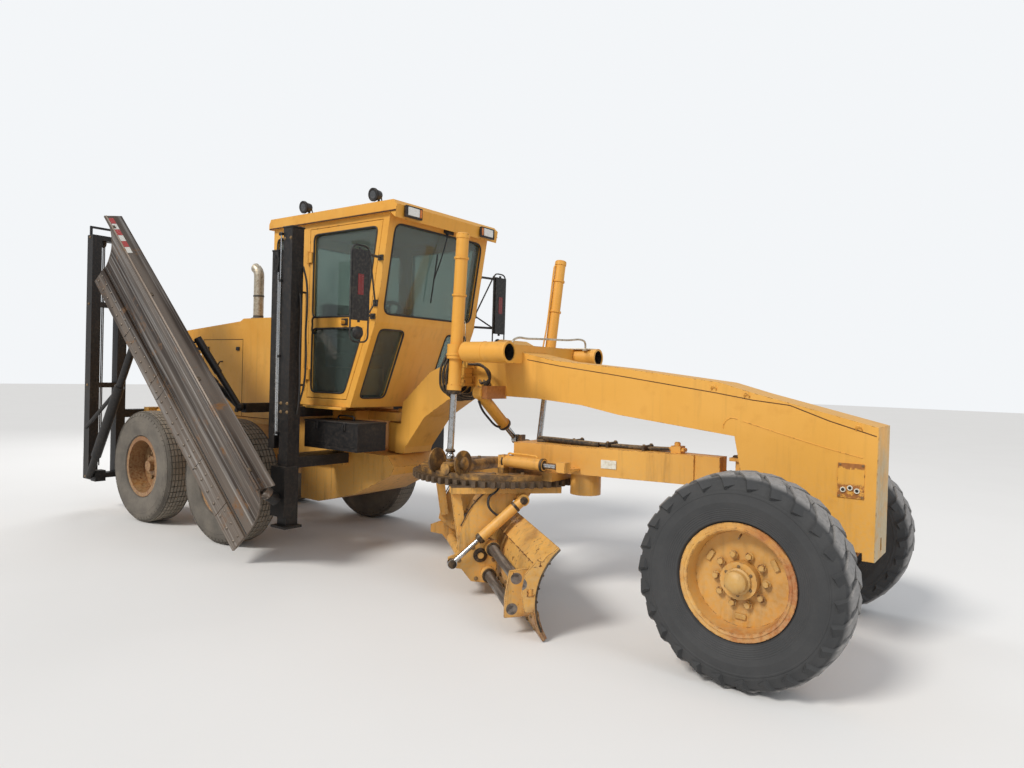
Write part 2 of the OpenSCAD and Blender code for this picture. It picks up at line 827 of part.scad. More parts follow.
module hood() {
  outer = [
    [hood_nose, rail_z[1]], [hood_nose, 2350], [-5900, 2350], [-5960, 2320], [hood_tail, 2180],
    [hood_tail, rail_z[1]]
  ];
  inner = [
    [hood_nose - hood_wall, 1000], [hood_nose - hood_wall, 2350 - hood_wall],
    [-5890, 2350 - hood_wall], [-5960, 2320 - hood_wall],
    [hood_tail - 10, 2180 - hood_wall], [hood_tail - 10, 1000]
  ];
  color(yellow)
    rear_placed()
      difference() {
        side_plate(outer, [-hood_half, hood_half]);
        side_plate(inner, [-hood_half + hood_wall, hood_half - hood_wall]);
        // Louvres in both sides
        for (i = [0 : 9])
          box([-7300, -6750], [-hood_half - 10, hood_half + 10], [1400 + 75 * i, 1425 + 75 * i]);
      }
}

module grille() {
  half = hood_half - hood_wall - 2;
  color(black)
    rear_placed() {
      difference() {
        box([hood_tail + 5, hood_tail + 45], [-half, half], [rail_z[1], 2150]);
        box([hood_tail - 5, hood_tail + 60], [-half + 60, half - 60], [1260, 2090]);
      }
      for (i = [0 : 12])
        box([hood_tail + 10, hood_tail + 40], [-half + 50, half - 50], [1290 + 62 * i, 1302 + 62 * i]);
      for (y = [-200, 0, 200])
        box([hood_tail + 15, hood_tail + 35], [y - 8, y + 8], [1250, 2100]);
    }
}

// Exhaust stack with a bent mouth, and the air cleaner's mushroom cap
module stack() {
  at = [-5800, -380];
  color("#c9c6bd")
    rear_placed() {
      translate([at[0], at[1], 2350])
        cylinder(h = 480, r = 55);
      translate([at[0] - 110, at[1], 2830])
        rotate([90, 0, 0])
          rotate_extrude(angle = 70)
            translate([110, 0])
              circle(r = 55);
      translate([-5450, -300, 2350])
        cylinder(h = 110, r = 55);
      translate([-5450, -300, 2460])
        cylinder(h = 35, r1 = 90, r2 = 110);
      translate([-5450, -300, 2495])
        cylinder(h = 45, r1 = 110, r2 = 60);
    }
}

cab_rear = -5080;
wall_top = roof_z - roof_t;
// Front edge of the cab at a height
function cab_front(z) =
  z < 2250 ? -3850 + 320 * (z - 1450) / 800 : -3530 + 160 * (z - 2250) / 980;
door_z = [cab_floor_z + 70, wall_top - 50];
function door_outline(inset) = [
  [-4490 + inset, door_z[0] + inset],
  [cab_front(door_z[0]) - 80 - inset, door_z[0] + inset],
  [cab_front(2250) - 80 - inset, 2250],
  [cab_front(door_z[1]) - 80 - inset, door_z[1] - inset],
  [-4490 + inset, door_z[1] - inset]
];

// Front openings: two corner panes below and the windscreen above, as a slanted slot
function front_slot(z, depth) = [
  for (p = [[z[0], 1], [z[1], 1], [z[1], -1], [z[0], -1]])
    [cab_front(p[0]) - depth[0] + (p[1] > 0 ? depth[1] : 0), p[0]]
];
screen_z = [2330, 3150];
corner_z = [1540, 2190];
screen_y = cab_half - cab_wall - 30;

module cab_shell() {
  outer = [
    [cab_front(cab_floor_z), cab_floor_z], [cab_front(2250), 2250], [cab_front(wall_top), wall_top],
    [cab_rear, wall_top], [cab_rear, cab_floor_z]
  ];
  w = cab_wall;
  inner = [
    [cab_front(cab_floor_z + w) - w - 20, cab_floor_z + w], [cab_front(2250) - w - 20, 2250],
    [cab_front(wall_top) - w - 20, wall_top + 10], [cab_rear + w, wall_top + 10],
    [cab_rear + w, cab_floor_z + w]
  ];
  color(yellow)
    rear_placed()
      difference() {
        side_plate(outer, [-cab_half, cab_half]);
        side_plate(inner, [-cab_half + w, cab_half - w]);
        side_plate(door_outline(0), [-cab_half - 10, cab_half + 10]);
        box([-5020, -4620], [-cab_half - 10, cab_half + 10], [2330, 3130]);
        box([cab_rear - 10, cab_rear + w + 10], [-560, 560], [2100, 3130]);
        side_plate(front_slot(screen_z, [200, 400]), [-screen_y, screen_y]);
        for (s = [-1, 1])
          side_plate(front_slot(corner_z, [200, 400]),
                     s > 0 ? [300, screen_y] : [-screen_y, -300]);
      }
}

module cab_roof() {
  color(yellow)
    rear_placed()
      side_plate([
        [cab_front(wall_top) + 20, wall_top], [cab_front(wall_top) + 90, wall_top - 55],
        [cab_front(wall_top) + 110, wall_top + 60],
        [cab_front(wall_top) + 60, roof_z], [cab_rear - 20, roof_z], [cab_rear - 50, roof_z - 50],
        [cab_rear - 50, wall_top]
      ], [-cab_half - roof_lip, cab_half + roof_lip]);
}

module cab_glass() {
  t = glass_t;
  s_y = screen_y - gap;
  color([0.45, 0.55, 0.55, 0.5])
    rear_placed() {
      side_plate(front_slot([screen_z[0] + gap, screen_z[1] - gap], [35, t]), [-s_y, s_y]);
      for (s = [-1, 1]) {
        side_plate(front_slot([corner_z[0] + gap, corner_z[1] - gap], [35, t]),
                   s > 0 ? [300 + gap, s_y] : [-s_y, -300 - gap]);
        side = s * (cab_half - cab_wall / 2);
        box([-5020 + gap, -4620 - gap], [side - t / 2, side + t / 2], [2330 + gap, 3130 - gap]);
      }
      box([cab_rear + 20, cab_rear + 20 + t], [-560 + gap, 560 - gap], [2100 + gap, 3130 - gap]);
    }
}

function pane_outline(z, inset) = [
  [-4490 + 60 + inset, z[0] + inset],
  [cab_front(z[0]) - 140 - inset, z[0] + inset],
  [cab_front(z[1]) - 140 - inset, z[1] - inset],
  [-4490 + 60 + inset, z[1] - inset]
];
pane_low = [1580, 2200];
pane_high = [2310, 3120];

module cab_door(s) {
  y = s > 0 ? [cab_half - cab_wall, cab_half] : [-cab_half, -cab_half + cab_wall];
  color(yellow)
    rear_placed() {
      difference() {
        side_plate(door_outline(6), y);
        for (z = [pane_low, pane_high])
          side_plate(pane_outline(z, 0), [y[0] - 10, y[1] + 10]);
      }
      pin_y([-3950, s * (cab_half + 30), 2255], 40, 60);
      for (z = [1750, 2900])
        pin_z([-4500, s * (cab_half + 16 + gap), z], 32, 120);
      for (z = [1750, 2900]) {
        box([-4500, -4440], s > 0 ? [cab_half + gap, cab_half + 20] : [-cab_half - 20, -cab_half - gap],
            [z - 50, z + 50]);
        box([-4475, -4440], s > 0 ? [cab_half - 5, cab_half + 20] : [-cab_half - 20, -cab_half + 5],
            [z - 50, z + 50]);
      }
    }
}

module door_glass(s) {
  mid = s * (cab_half - cab_wall / 2);
  color([0.45, 0.55, 0.55, 0.5])
    rear_placed()
      for (z = [pane_low, pane_high])
        side_plate(pane_outline(z, gap), [mid - glass_t / 2, mid + glass_t / 2]);
}

module seat() {
  floor_z = cab_floor_z + cab_wall;
  color(black)
    rear_placed() {
      box([-4700, -4350], [-180, 180], [floor_z, floor_z + 330]);
      box([-4800, -4280], [-260, 260], [floor_z + 330, floor_z + 470]);
      side_plate([
        [-4800, floor_z + 470], [-4690, floor_z + 470], [-4790, floor_z + 1020],
        [-4890, floor_z + 1020]
      ], [-245, 245]);
    }
}

module console() {
  floor_z = cab_floor_z + cab_wall;
  color("#2f2f31")
    rear_placed() {
      side_plate([
        [-4050, floor_z], [-3910, floor_z], [-3990, floor_z + 760], [-4120, floor_z + 760]
      ], [-70, 70]);
      box([-4120, -3960], [-260, 260], [floor_z + 740, floor_z + 860]);
      translate([-4190, 0, floor_z + 900])
        rotate([0, -35, 0]) {
          difference() {
            translate([0, 0, -14])
              cylinder(h = 28, r = 205);
            translate([0, 0, -20])
              cylinder(h = 40, r = 175);
          }
          for (a = [0 : 120 : 240])
            rotate([0, 0, a])
              translate([0, -12, -8])
                cube([185, 24, 16]);
          translate([0, 0, -130])
            cylinder(h = 140, r = 28);
        }
      // Control levers on both sides of the column
      for (s = [-1, 1], i = [0 : 4])
        box([-3994, -3980], [s * (90 + 36 * i) - 7, s * (90 + 36 * i) + 7],
            [floor_z + 850, floor_z + 960]);
    }
}

// Mirrors on arms from the front pillars
module mirrors() {
  color(black)
    rear_placed()
      for (s = [-1, 1]) {
        box([-3440, -3405], s > 0 ? [910, 1090] : [-1090, -910], [2240, 2850]);
        for (z = [2300, 2830]) {
          x = cab_front(z) - 40;
          box([x - 30, x + 30], s > 0 ? [cab_half + gap, cab_half + 14] : [-cab_half - 14, -cab_half - gap],
              [z - 25, z + 25]);
          bar([x, s * (cab_half + 8), z], [-3420, s * 1000, z], 24);
        }
        bar([-3420, s * 1000, 2220], [-3420, s * 1000, 2870], 24);
      }
}

// Lamps at the roof's front corners and on its right edge
module lamps() {
  x = cab_front(wall_top) + 110 + gap;
  color(black)
    rear_placed() {
      for (s = [-1, 1])
        box([x, x + 22], s > 0 ? [430, 640] : [-640, -430], [wall_top - 40, wall_top + 60]);
      for (at = [-4560, -3560]) {
        y = -cab_half - roof_lip + 60;
        pin_z([at, y, roof_z + 35 + gap], 24, 70);
        translate([at, y + 10, roof_z + 78])
          rotate([98, 0, 0])
            cylinder(h = 80, r1 = 38, r2 = 58);
      }
    }
}

// Battery box, steps and the bracket of the push poles
pole_at = [-5110, -1040, 1400];
pole_ball = 42;

module side_gear() {
  color(black)
    rear_placed() {
      box([-4380, -3620], [-800, -rail_out - 30], [1050, 1300]);
      box([-4380, -4300], [-rail_out - 40, -rail_out - gap], [1050, 1150]);
      // Pole bracket over the right front tandem tyre
      box([-5149, -5060], [pole_at[1] + pole_ball + gap, -rail_out - gap], [1345, 1440]);
      // Left steps
      for (x = [-4580, -4180])
        box([x, x + 20], [740, 980], [670, 1430]);
      for (z = [690, 930, 1170, 1400])
        box([-4580, -4160], [760, 980], [z, z + 25]);
      box([-4580, -4420 - gap], [rail_out + gap, 760], [1345, 1430]);
    }
}

post_x = [-4300, -4300 + mast_w];
post_y = [-1150, -1150 + mast_w];

module front_mast() {
  color(black)
    rear_placed() {
      difference() {
        box(post_x, post_y, [350, mast_top]);
        box([post_x[0] + 20, post_x[1] - 20], [post_y[0] + 20, post_y[1] + 10], [1500, mast_top + 10]);
      }
      box([-4490, -4400], [-1130, -1020], [1050, 2900]);
      for (z = [1100, 2000, 2850])
        box([-4490, post_x[0] + 10], [-1050, -1025], [z, z + 60]);
      box([-4400, -4345], [-1105, -1030], [2840, 2900]);
      box([post_x[0] - 40, post_x[1] + 40], [-1190, -1000], [330, 352]);
      // Beams to the rear frame
      box([-4490, post_x[1]], [post_y[1] - 5, -rail_out - gap], [880, 980]);
      box([-4520, -4430], [post_y[1] - 20, -rail_out - gap], [1335, 1435]);
      // Hoist cylinder beside the post
      bar([-4376, -1085, 1200], [-4376, -1085, 2250], 60);
      bar([-4376, -1085, 2250], [-4376, -1085, 2860], 36);
    }
}

module rear_mast() {
  x = [tail_x - mast_reach, tail_x - gap];
  color(black)
    rear_placed() {
      for (y = [-1190, -870])
        box(x, [y, y + 110], [370, 3380]);
      for (z = [370, 1500, 2500, 3320])
        box(x, [-1190, -760], [z, z + 60]);
      for (z = [720, 1120])
        box([x[0] + 10, x[1]], [-770, 300], [z, z + 100]);
      for (y = [-1190, -785])
        box([x[0] + 50, x[0] + 75], [y, y + 25], [3380, 3490]);
      box([x[0] + 50, x[0] + 75], [-1190, -760], [3465, 3490]);
      // Foot bracket of the heel pole
      box([x[0] + 20, heel_at[0] - 30], [-1190, -1100], [370, 470]);
      box([heel_at[0] - 60, heel_at[0] + 60], [heel_at[1] + pole_ball + gap, -1100], [370, 500]);
    }
}

// Wing pivot: the pin leans outwards, so that the wing swings out as its heel comes down
wing_pin = [-4235, -1300, 660];
pin_tilt = 36.4;
wing_axis = [0, -cos(pin_tilt), sin(pin_tilt)];
wing_toe = [-4480, -1470, 140];

module wing_carriage() {
  out = post_y[0] - gap;
  color(black)
    rear_placed() {
      box([post_x[0] - 36 - gap, post_x[1] + 36 + gap], [out - 50, out], [440, 900]);
      for (x = [post_x[0] - 36 - gap, post_x[1] + gap])
        box([x, x + 36], [out - 10, post_y[1] - 40], [440, 900]);
      bar(wing_pin - 112 * wing_axis, wing_pin - 8 * wing_axis, 110);
      bar(wing_pin - 60 * wing_axis, wing_pin + 84 * wing_axis, 60);
    }
}

wing_u = [-cos(wing_rise), 0, sin(wing_rise)];
wing_n = [-sin(wing_lean) * sin(wing_rise), -cos(wing_lean), -sin(wing_lean) * cos(wing_rise)];
wing_up = [cos(wing_lean) * sin(wing_rise), -sin(wing_lean), cos(wing_lean) * cos(wing_rise)];
function wing_point(p) = wing_toe + p[0] * wing_u + p[1] * wing_n + p[2] * wing_up;

// Moves a piece drawn along X, with its face to +Y, to the stowed wing's place
module at_wing() {
  rear_placed()
    translate(wing_toe)
      rotate([0, wing_rise, 0])
        rotate([0, 0, 180])
          rotate([-wing_lean, 0, 0])
            children();
}

wing_sag = 110;
wing_arc_r = pow(wing_h / 2, 2) / (2 * wing_sag) + wing_sag / 2;
wing_arc_a = asin(wing_h / 2 / wing_arc_r);
function wing_arc(r, n) = [
  for (i = [0 : n])
    let (a = wing_arc_a * (2 * i / n - 1))
      [wing_arc_r - wing_sag - r * cos(a), wing_h / 2 + r * sin(a)]
];

// A plate whose outline is drawn in Y and Z, from x[0] to x[1]
module end_plate(outline, x) {
  translate([x[0], 0, 0])
    rotate([90, 0, 90])
      linear_extrude(x[1] - x[0])
        polygon(outline);
}

// Middle of the whole machine, from its furthest pieces on each side
left_reach = circle_y + blade_top[0] * sin(blade_turn) + blade_ends[1] * cos(blade_turn);
right_reach = wing_toe[1] - wing_h * sin(wing_lean) - 12;
centre_x = (max(nose_reach, tyre_r) + tail_x + rear_shift - mast_reach) / 2;
centre_y = (left_reach + right_reach) / 2;

module wing() {
  front = wing_arc(wing_arc_r, 10);
  back = wing_arc(wing_arc_r + wing_t, 10);
  core = wing_arc(wing_arc_r + wing_t / 2, 10);
  edge = wing_arc(wing_arc_r - 18, 10);
  color("#7d756b")
    difference() {
      union() {
        at_wing() {
          end_plate(concat(front, [for (i = [10 : -1 : 0]) back[i]]), [0, wing_len]);
          // Cutting edge, bolted on in three lengths
          for (x = [[0, 397], [403, 2117], [2123, wing_len]])
            end_plate([edge[0] - [0, 14], edge[1], edge[2], core[2], core[1], core[0] - [0, 14]], x);
          end_plate([[-165, wing_h - 16], [12, wing_h - 16], [12, wing_h], [-165, wing_h]],
                    [0, wing_len]);
          for (x = [180, 1300, 2500, 3600])
            end_plate(concat([for (i = [1 : 9]) back[i]],
                             [[-160, wing_h - 10], [-235, 620], [-235, 240]]), [x, x + 18]);
          end_plate([[-235, 380], [-120, 380], [-120, 500], [-235, 500]], [180, 3618]);
        }
        rear_placed() {
          bar(wing_pin, wing_pin + 78 * wing_axis, 120);
          bar(wing_pin + 42 * wing_axis, wing_toe + [120, 55, 500], 68);
        }
      }
      rear_placed()
        bar(wing_pin - 10 * wing_axis, wing_pin + 100 * wing_axis, 60 + 2 * run_fit);
    }
}

// Telescopic push poles, from the frame to the back of the stowed wing, and the axis they swing on
pole_axis = [0.735, -0.637, 0.232];
pole_eyes = [wing_point([2000, -300, 750]), wing_point([2000, -300, 450])];
heel_at = [-7850, -1262, 440];
heel_eye = wing_point([3150, -320, 450]);

module push_poles() {
  color(black)
    rear_placed() {
      translate(pole_at)
        sphere(r = pole_ball);
      bar(pole_at - 42 * pole_axis, pole_at + 42 * pole_axis, 36);
      for (eye = pole_eyes) {
        bar(pole_at, eye, 60);
        bar(pole_at + 0.5 * (eye - pole_at), eye, 76);
      }
    }
}

module heel_pole() {
  v = (heel_eye - heel_at) / norm(heel_eye - heel_at);
  color(black)
    rear_placed() {
      translate(heel_at)
        sphere(r = pole_ball);
      bar(heel_at, heel_eye, 80);
      bar(heel_at + 300 * v, heel_at + 1300 * v, 110);
      // Stay from the mast to the pole
      bar([tail_x + 2, -1225, 1010], heel_at + 1280 * v, 44);
    }
}

main_frame();
lift_saddle();
valve_bank();
front_axle();
lean_bracket(1);  // lean_bracket_left
lean_bracket(-1);  // lean_bracket_right
lean_bar();
knuckle(1);  // knuckle_left
knuckle(-1);  // knuckle_right
tie_rod();
tyre(front_x, 1);  // tyre_front_left
tyre(front_x, -1);  // tyre_front_right
tyre(mid_x, 1);  // tyre_mid_left
tyre(mid_x, -1);  // tyre_mid_right
tyre(rear_x, 1);  // tyre_rear_left
tyre(rear_x, -1);  // tyre_rear_right
rim(front_x, 1, 10, 95, 100);  // rim_front_left
rim(front_x, -1, 10, 95, 100);  // rim_front_right
rim(mid_x, 1, -60, 20, 180);  // rim_mid_left
rim(mid_x, -1, -60, 20, 180);  // rim_mid_right
rim(rear_x, 1, -60, 20, 180);  // rim_rear_left
rim(rear_x, -1, -60, 20, 180);  // rim_rear_right
lift_barrel(1);  // lift_barrel_left
lift_barrel(-1);  // lift_barrel_right
lift_rod(1);  // lift_rod_left
lift_rod(-1);  // lift_rod_right
shift_barrel();
shift_rod();
drawbar_ball();
drawbar();
blade_circle();
blade_bracket();
tilt_barrel();
tilt_rod();
moldboard();
rear_frame();
tandem_cases();
engine();
hood();
grille();
stack();
cab_shell();
cab_roof();
cab_glass();
cab_door(1);  // door_left
cab_door(-1);  // door_right
door_glass(1);  // door_glass_left
door_glass(-1);  // door_glass_right
seat();
console();
mirrors();
lamps();
side_gear();
front_mast();
rear_mast();
wing_carriage();
wing();
push_poles();
heel_pole();
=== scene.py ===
"""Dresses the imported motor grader: finishes, small fittings, studio light and camera.

Pieces are drawn in millimetres in the machine's frame, which starts on the ground under the front
axle, or in the frame of the blade or the wing. Finishes read the pack's own frame in metres.
"""
import json
import logging
import math
from dataclasses import dataclass
from enum import Enum
from typing import Callable, Iterable, Optional, Sequence, Union

import bpy
from mathutils import Matrix, Vector


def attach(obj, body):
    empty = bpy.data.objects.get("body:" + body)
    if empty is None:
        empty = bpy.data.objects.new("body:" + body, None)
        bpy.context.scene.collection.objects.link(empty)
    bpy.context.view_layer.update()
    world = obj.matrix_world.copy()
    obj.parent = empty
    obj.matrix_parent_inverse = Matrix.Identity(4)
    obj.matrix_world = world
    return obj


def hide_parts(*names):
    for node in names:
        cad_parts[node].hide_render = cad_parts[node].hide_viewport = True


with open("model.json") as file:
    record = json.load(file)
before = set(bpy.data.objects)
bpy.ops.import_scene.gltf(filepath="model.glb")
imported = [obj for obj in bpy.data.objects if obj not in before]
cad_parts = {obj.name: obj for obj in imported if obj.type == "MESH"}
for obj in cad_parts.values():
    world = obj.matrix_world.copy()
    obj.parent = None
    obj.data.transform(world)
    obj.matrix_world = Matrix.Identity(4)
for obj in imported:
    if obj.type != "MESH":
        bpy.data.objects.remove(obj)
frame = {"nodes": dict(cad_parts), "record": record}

LOG = logging.getLogger("grader")
Triple = tuple[float, float, float]
Socket = bpy.types.NodeSocket
Tint = Union[Triple, Socket]
Piece = bpy.types.Object

# The wheels' axes and the circle's centre in the pack's frame, in metres
FRONT_X, MID_X, REAR_X, AXLE_Z = 3.7775, -1.5375, -3.1075, 0.635
CIRCLE_X, CIRCLE_Y = 1.2375, 0.11434
# How far the blade is turned and how steeply the wing is stowed, in degrees
BLADE_YAW, WING_SLOPE = 49.0, 42.6

MACHINE = Matrix.Translation((FRONT_X, 0.19434, 0.0))
BLADE = MACHINE @ Matrix.Translation((-2.54, -0.08, 0.0)) @ Matrix.Rotation(math.radians(BLADE_YAW), 4, "Z")
WING = (MACHINE @ Matrix.Translation((-4.48, -1.47, 0.14))
        @ Matrix.Rotation(math.radians(WING_SLOPE), 4, "Y")
        @ Matrix.Rotation(math.pi, 4, "Z") @ Matrix.Rotation(math.radians(-11.7), 4, "X"))


class Body(str, Enum):
    """Bodies that the fittings ride on."""

    REAR = "rear_frame"
    FRONT = "front_frame"
    DRAWBAR = "drawbar"
    BALL = "drawbar_ball"
    CIRCLE = "blade_circle"
    BRACKET = "blade_bracket"
    MOLDBOARD = "moldboard"
    WING = "wing"


class Side(Enum):
    """Sides of the machine, as the sign of Y."""

    LEFT = 1
    RIGHT = -1

    @property
    def word(self) -> str:
        """The side's name in lower case."""
        return self.name.lower()


# Finishes and the nodes that they are wired from


def shade(red: int, green: int, blue: int) -> Triple:
    """Turns a colour as seen on a screen into the shader's linear values.

    Args:
        red: Red, 0 to 255.
        green: Green, 0 to 255.
        blue: Blue, 0 to 255.

    Returns:
        Linear red, green and blue.
    """
    return tuple((v / 255 / 12.92) if v <= 10 else ((v / 255 + 0.055) / 1.055) ** 2.4
                 for v in (red, green, blue))


class Board:
    """Wires the nodes of one material."""

    def __init__(self, name: str) -> None:
        """Starts a material with its shader and its object coordinates.

        Args:
            name: The material's name.
        """
        self.material = bpy.data.materials.new(name)
        self.material.use_nodes = True
        self.tree = self.material.node_tree
        self.surface = self.tree.nodes["Principled BSDF"]
        self.place = self.tree.nodes.new("ShaderNodeTexCoord").outputs["Object"]

    def plug(self, socket: Socket, value: object) -> None:
        """Links a socket, or sets it to a plain value.

        Args:
            socket: The input socket.
            value: Another node's output, a number or a colour.
        """
        if isinstance(value, bpy.types.NodeSocket):
            self.tree.links.new(value, socket)
        elif isinstance(value, tuple) and socket.type == "RGBA":
            socket.default_value = (*value[:3], 1.0)
        else:
            socket.default_value = value

    def set(self, **values: object) -> None:
        """Sets sockets of the shader, named with _ for a space."""
        for key, value in values.items():
            self.plug(self.surface.inputs[key.replace("_", " ")], value)

    def mapped(self, scale: Triple = (1, 1, 1), turn: Triple = (0, 0, 0),
               shift: Triple = (0, 0, 0)) -> Socket:
        """Object coordinates, moved, turned and scaled.

        Args:
            scale: Scale along each axis.
            turn: Turn about each axis in degrees.
            shift: Shift in metres.

        Returns:
            The mapped coordinates.
        """
        out = self.place
        for key, value in (("Location", shift), ("Rotation", [math.radians(a) for a in turn]),
                           ("Scale", scale)):
            node = self.tree.nodes.new("ShaderNodeMapping")
            self.plug(node.inputs["Vector"], out)
            node.inputs[key].default_value = value
            out = node.outputs[0]
        return out

    def noise(self, scale: float, detail: float = 4.0, rough: float = 0.55, bend: float = 0.0,
              where: Optional[Socket] = None) -> Socket:
        """Noise from 0 to 1.

        Args:
            scale: How many waves fit in a metre.
            detail: Levels of finer noise.
            rough: Strength of the finer levels.
            bend: Distortion.
            where: Coordinates, or None for the object's.

        Returns:
            The noise value.
        """
        node = self.tree.nodes.new("ShaderNodeTexNoise")
        self.plug(node.inputs["Vector"], where or self.place)
        for key, value in (("Scale", scale), ("Detail", detail), ("Roughness", rough),
                           ("Distortion", bend)):
            node.inputs[key].default_value = value
        return node.outputs[0]

    def math(self, work: str, one: object, two: object = 0.0) -> Socket:
        """A math node.

        Args:
            work: The operation.
            one: First value.
            two: Second value.

        Returns:
            The result.
        """
        node = self.tree.nodes.new("ShaderNodeMath")
        node.operation = work
        self.plug(node.inputs[0], one)
        self.plug(node.inputs[1], two)
        return node.outputs[0]

    def step(self, value: Socket, low: float, high: float, top: float = 1.0,
             base: float = 0.0) -> Socket:
        """A smooth step.

        Args:
            value: The value to read.
            low: Where the step starts.
            high: Where the step ends.
            top: Result after the step.
            base: Result before the step.

        Returns:
            The result.
        """
        node = self.tree.nodes.new("ShaderNodeMapRange")
        node.interpolation_type = "SMOOTHSTEP"
        self.plug(node.inputs["Value"], value)
        for key, number in (("From Min", low), ("From Max", high), ("To Min", base), ("To Max", top)):
            node.inputs[key].default_value = number
        return node.outputs[0]

    def mix(self, share: object, first: Tint, second: Tint) -> Socket:
        """Mixes two colours.

        Args:
            share: How much of the second colour shows.
            first: The first colour.
            second: The second colour.

        Returns:
            The mixed colour.
        """
        node = self.tree.nodes.new("ShaderNodeMix")
        node.data_type = "RGBA"
        for index, value in ((0, share), (6, first), (7, second)):
            self.plug(node.inputs[index], value)
        return node.outputs[2]

    def axis(self, name: str) -> Socket:
        """One coordinate: X, Y or Z."""
        node = self.tree.nodes.new("ShaderNodeSeparateXYZ")
        self.plug(node.inputs[0], self.place)
        return node.outputs[name]

    def along(self, way: Triple) -> Socket:
        """How far the surface's normal points one way.

        Args:
            way: The direction, of length one.

        Returns:
            The cosine.
        """
        node = self.tree.nodes.new("ShaderNodeVectorMath")
        node.operation = "DOT_PRODUCT"
        self.plug(node.inputs[0], self.tree.nodes.new("ShaderNodeNewGeometry").outputs["Normal"])
        node.inputs[1].default_value = way
        return node.outputs["Value"]

    def edges(self, reach: float) -> Socket:
        """Where the surface lies near a sharp edge.

        Args:
            reach: Width of the edge in metres.

        Returns:
            0 on flat ground, towards 1 on an edge.
        """
        soft = self.tree.nodes.new("ShaderNodeBevel")
        soft.samples = 4
        soft.inputs["Radius"].default_value = reach
        node = self.tree.nodes.new("ShaderNodeVectorMath")
        node.operation = "DOT_PRODUCT"
        plain = self.tree.nodes.new("ShaderNodeNewGeometry").outputs["Normal"]
        self.plug(node.inputs[0], soft.outputs[0])
        self.plug(node.inputs[1], plain)
        return self.step(node.outputs["Value"], 1.0, 0.8)

    def radius(self, centre: tuple[float, float]) -> Socket:
        """Distance from a wheel's axis.

        Args:
            centre: X and Z of the axis in metres.

        Returns:
            The distance in metres.
        """
        node = self.tree.nodes.new("ShaderNodeVectorMath")
        node.operation = "LENGTH"
        self.plug(node.inputs[0], self.mapped((1, 0, 1), shift=(-centre[0], 0, -centre[1])))
        return node.outputs["Value"]

    def bump(self, height: Socket, depth: float) -> None:
        """Gives the surface relief.

        Args:
            height: The height from 0 to 1.
            depth: Depth of the relief in metres.
        """
        node = self.tree.nodes.new("ShaderNodeBump")
        node.inputs["Strength"].default_value = 1.0
        node.inputs["Distance"].default_value = depth
        self.plug(node.inputs["Height"], height)
        self.plug(self.surface.inputs["Normal"], node.outputs[0])


MADE: dict[str, bpy.types.Material] = {}


@dataclass(frozen=True)
class Finish:
    """A finish, made into a material the first time that it is used."""

    name: str
    slot: str

    def wire(self, board: Board) -> None:
        """Wires the material's nodes."""
        raise NotImplementedError

    @property
    def material(self) -> bpy.types.Material:
        """The finished material."""
        if self.name not in MADE:
            board = Board(self.name)
            self.wire(board)
            MADE[self.name] = board.material
        return MADE[self.name]


@dataclass(frozen=True)
class AgedPaint(Finish):
    """Faded work paint with grime, dust, and rust at chips and edges."""

    base: Triple = shade(222, 158, 58)
    faded: Triple = shade(227, 168, 74)
    deep: Triple = shade(196, 132, 42)
    grime: Triple = shade(92, 64, 34)
    dust: Triple = shade(196, 168, 122)
    rust: Triple = shade(112, 58, 28)
    rough: float = 0.46
    chips: float = 0.5
    dirt: float = 0.5
    dust_z: tuple[float, float] = (0.3, 1.5)

    def wire(self, board: Board) -> None:
        """Wires the material's nodes."""
        self.coat(board, self.base)

    def coat(self, board: Board, start: Tint) -> None:
        """Lays the paint over a first colour.

        Args:
            board: The board to wire on.
            start: The colour under the fading.
        """
        fine = board.noise(38, 6, 0.6)
        patch = board.noise(1.3, 4)
        colour = board.mix(board.step(patch, 0.38, 0.66), start, self.faded)
        colour = board.mix(board.step(board.noise(6, 5), 0.55, 0.8, 0.45), colour, self.deep)
        streaks = board.noise(1.0, 5, 0.6, where=board.mapped((16, 16, 1.4)))
        low = board.step(board.axis("Z"), self.dust_z[1] + 0.7, self.dust_z[0])
        dirt = board.math("MULTIPLY", board.step(streaks, 0.5, 0.78), board.math(
            "ADD", board.math("MULTIPLY", low, 0.6 * self.dirt), 0.35 * self.dirt))
        colour = board.mix(dirt, colour, self.grime)
        up = board.step(board.along((0, 0, 1)), 0.5, 0.95, 0.34)
        dusty = board.math("MULTIPLY", board.math("MAXIMUM", up, board.step(
            board.axis("Z"), self.dust_z[1], self.dust_z[0], 0.5)), board.step(fine, 0.25, 0.7))
        colour = board.mix(dusty, colour, self.dust)
        edge = board.edges(0.011)
        spots = board.math("ADD", board.noise(24, 7, 0.68), board.math("MULTIPLY", edge, 0.2))
        spots = board.math("ADD", spots, board.step(patch, 0.3, 0.7, 0.05))
        rust = board.step(spots, 0.80 - 0.12 * self.chips, 0.86 - 0.12 * self.chips)
        colour = board.mix(rust, colour, board.mix(fine, self.rust, shade(70, 38, 22)))
        board.set(Base_Color=colour)
        rough = board.step(fine, 0.3, 0.7, self.rough + 0.12, self.rough - 0.04)
        board.set(Roughness=board.math("MAXIMUM", rough, board.math("MULTIPLY", rust, 0.85)))
        board.bump(board.math("SUBTRACT", fine, board.math("MULTIPLY", rust, 1.2)), 0.0006)


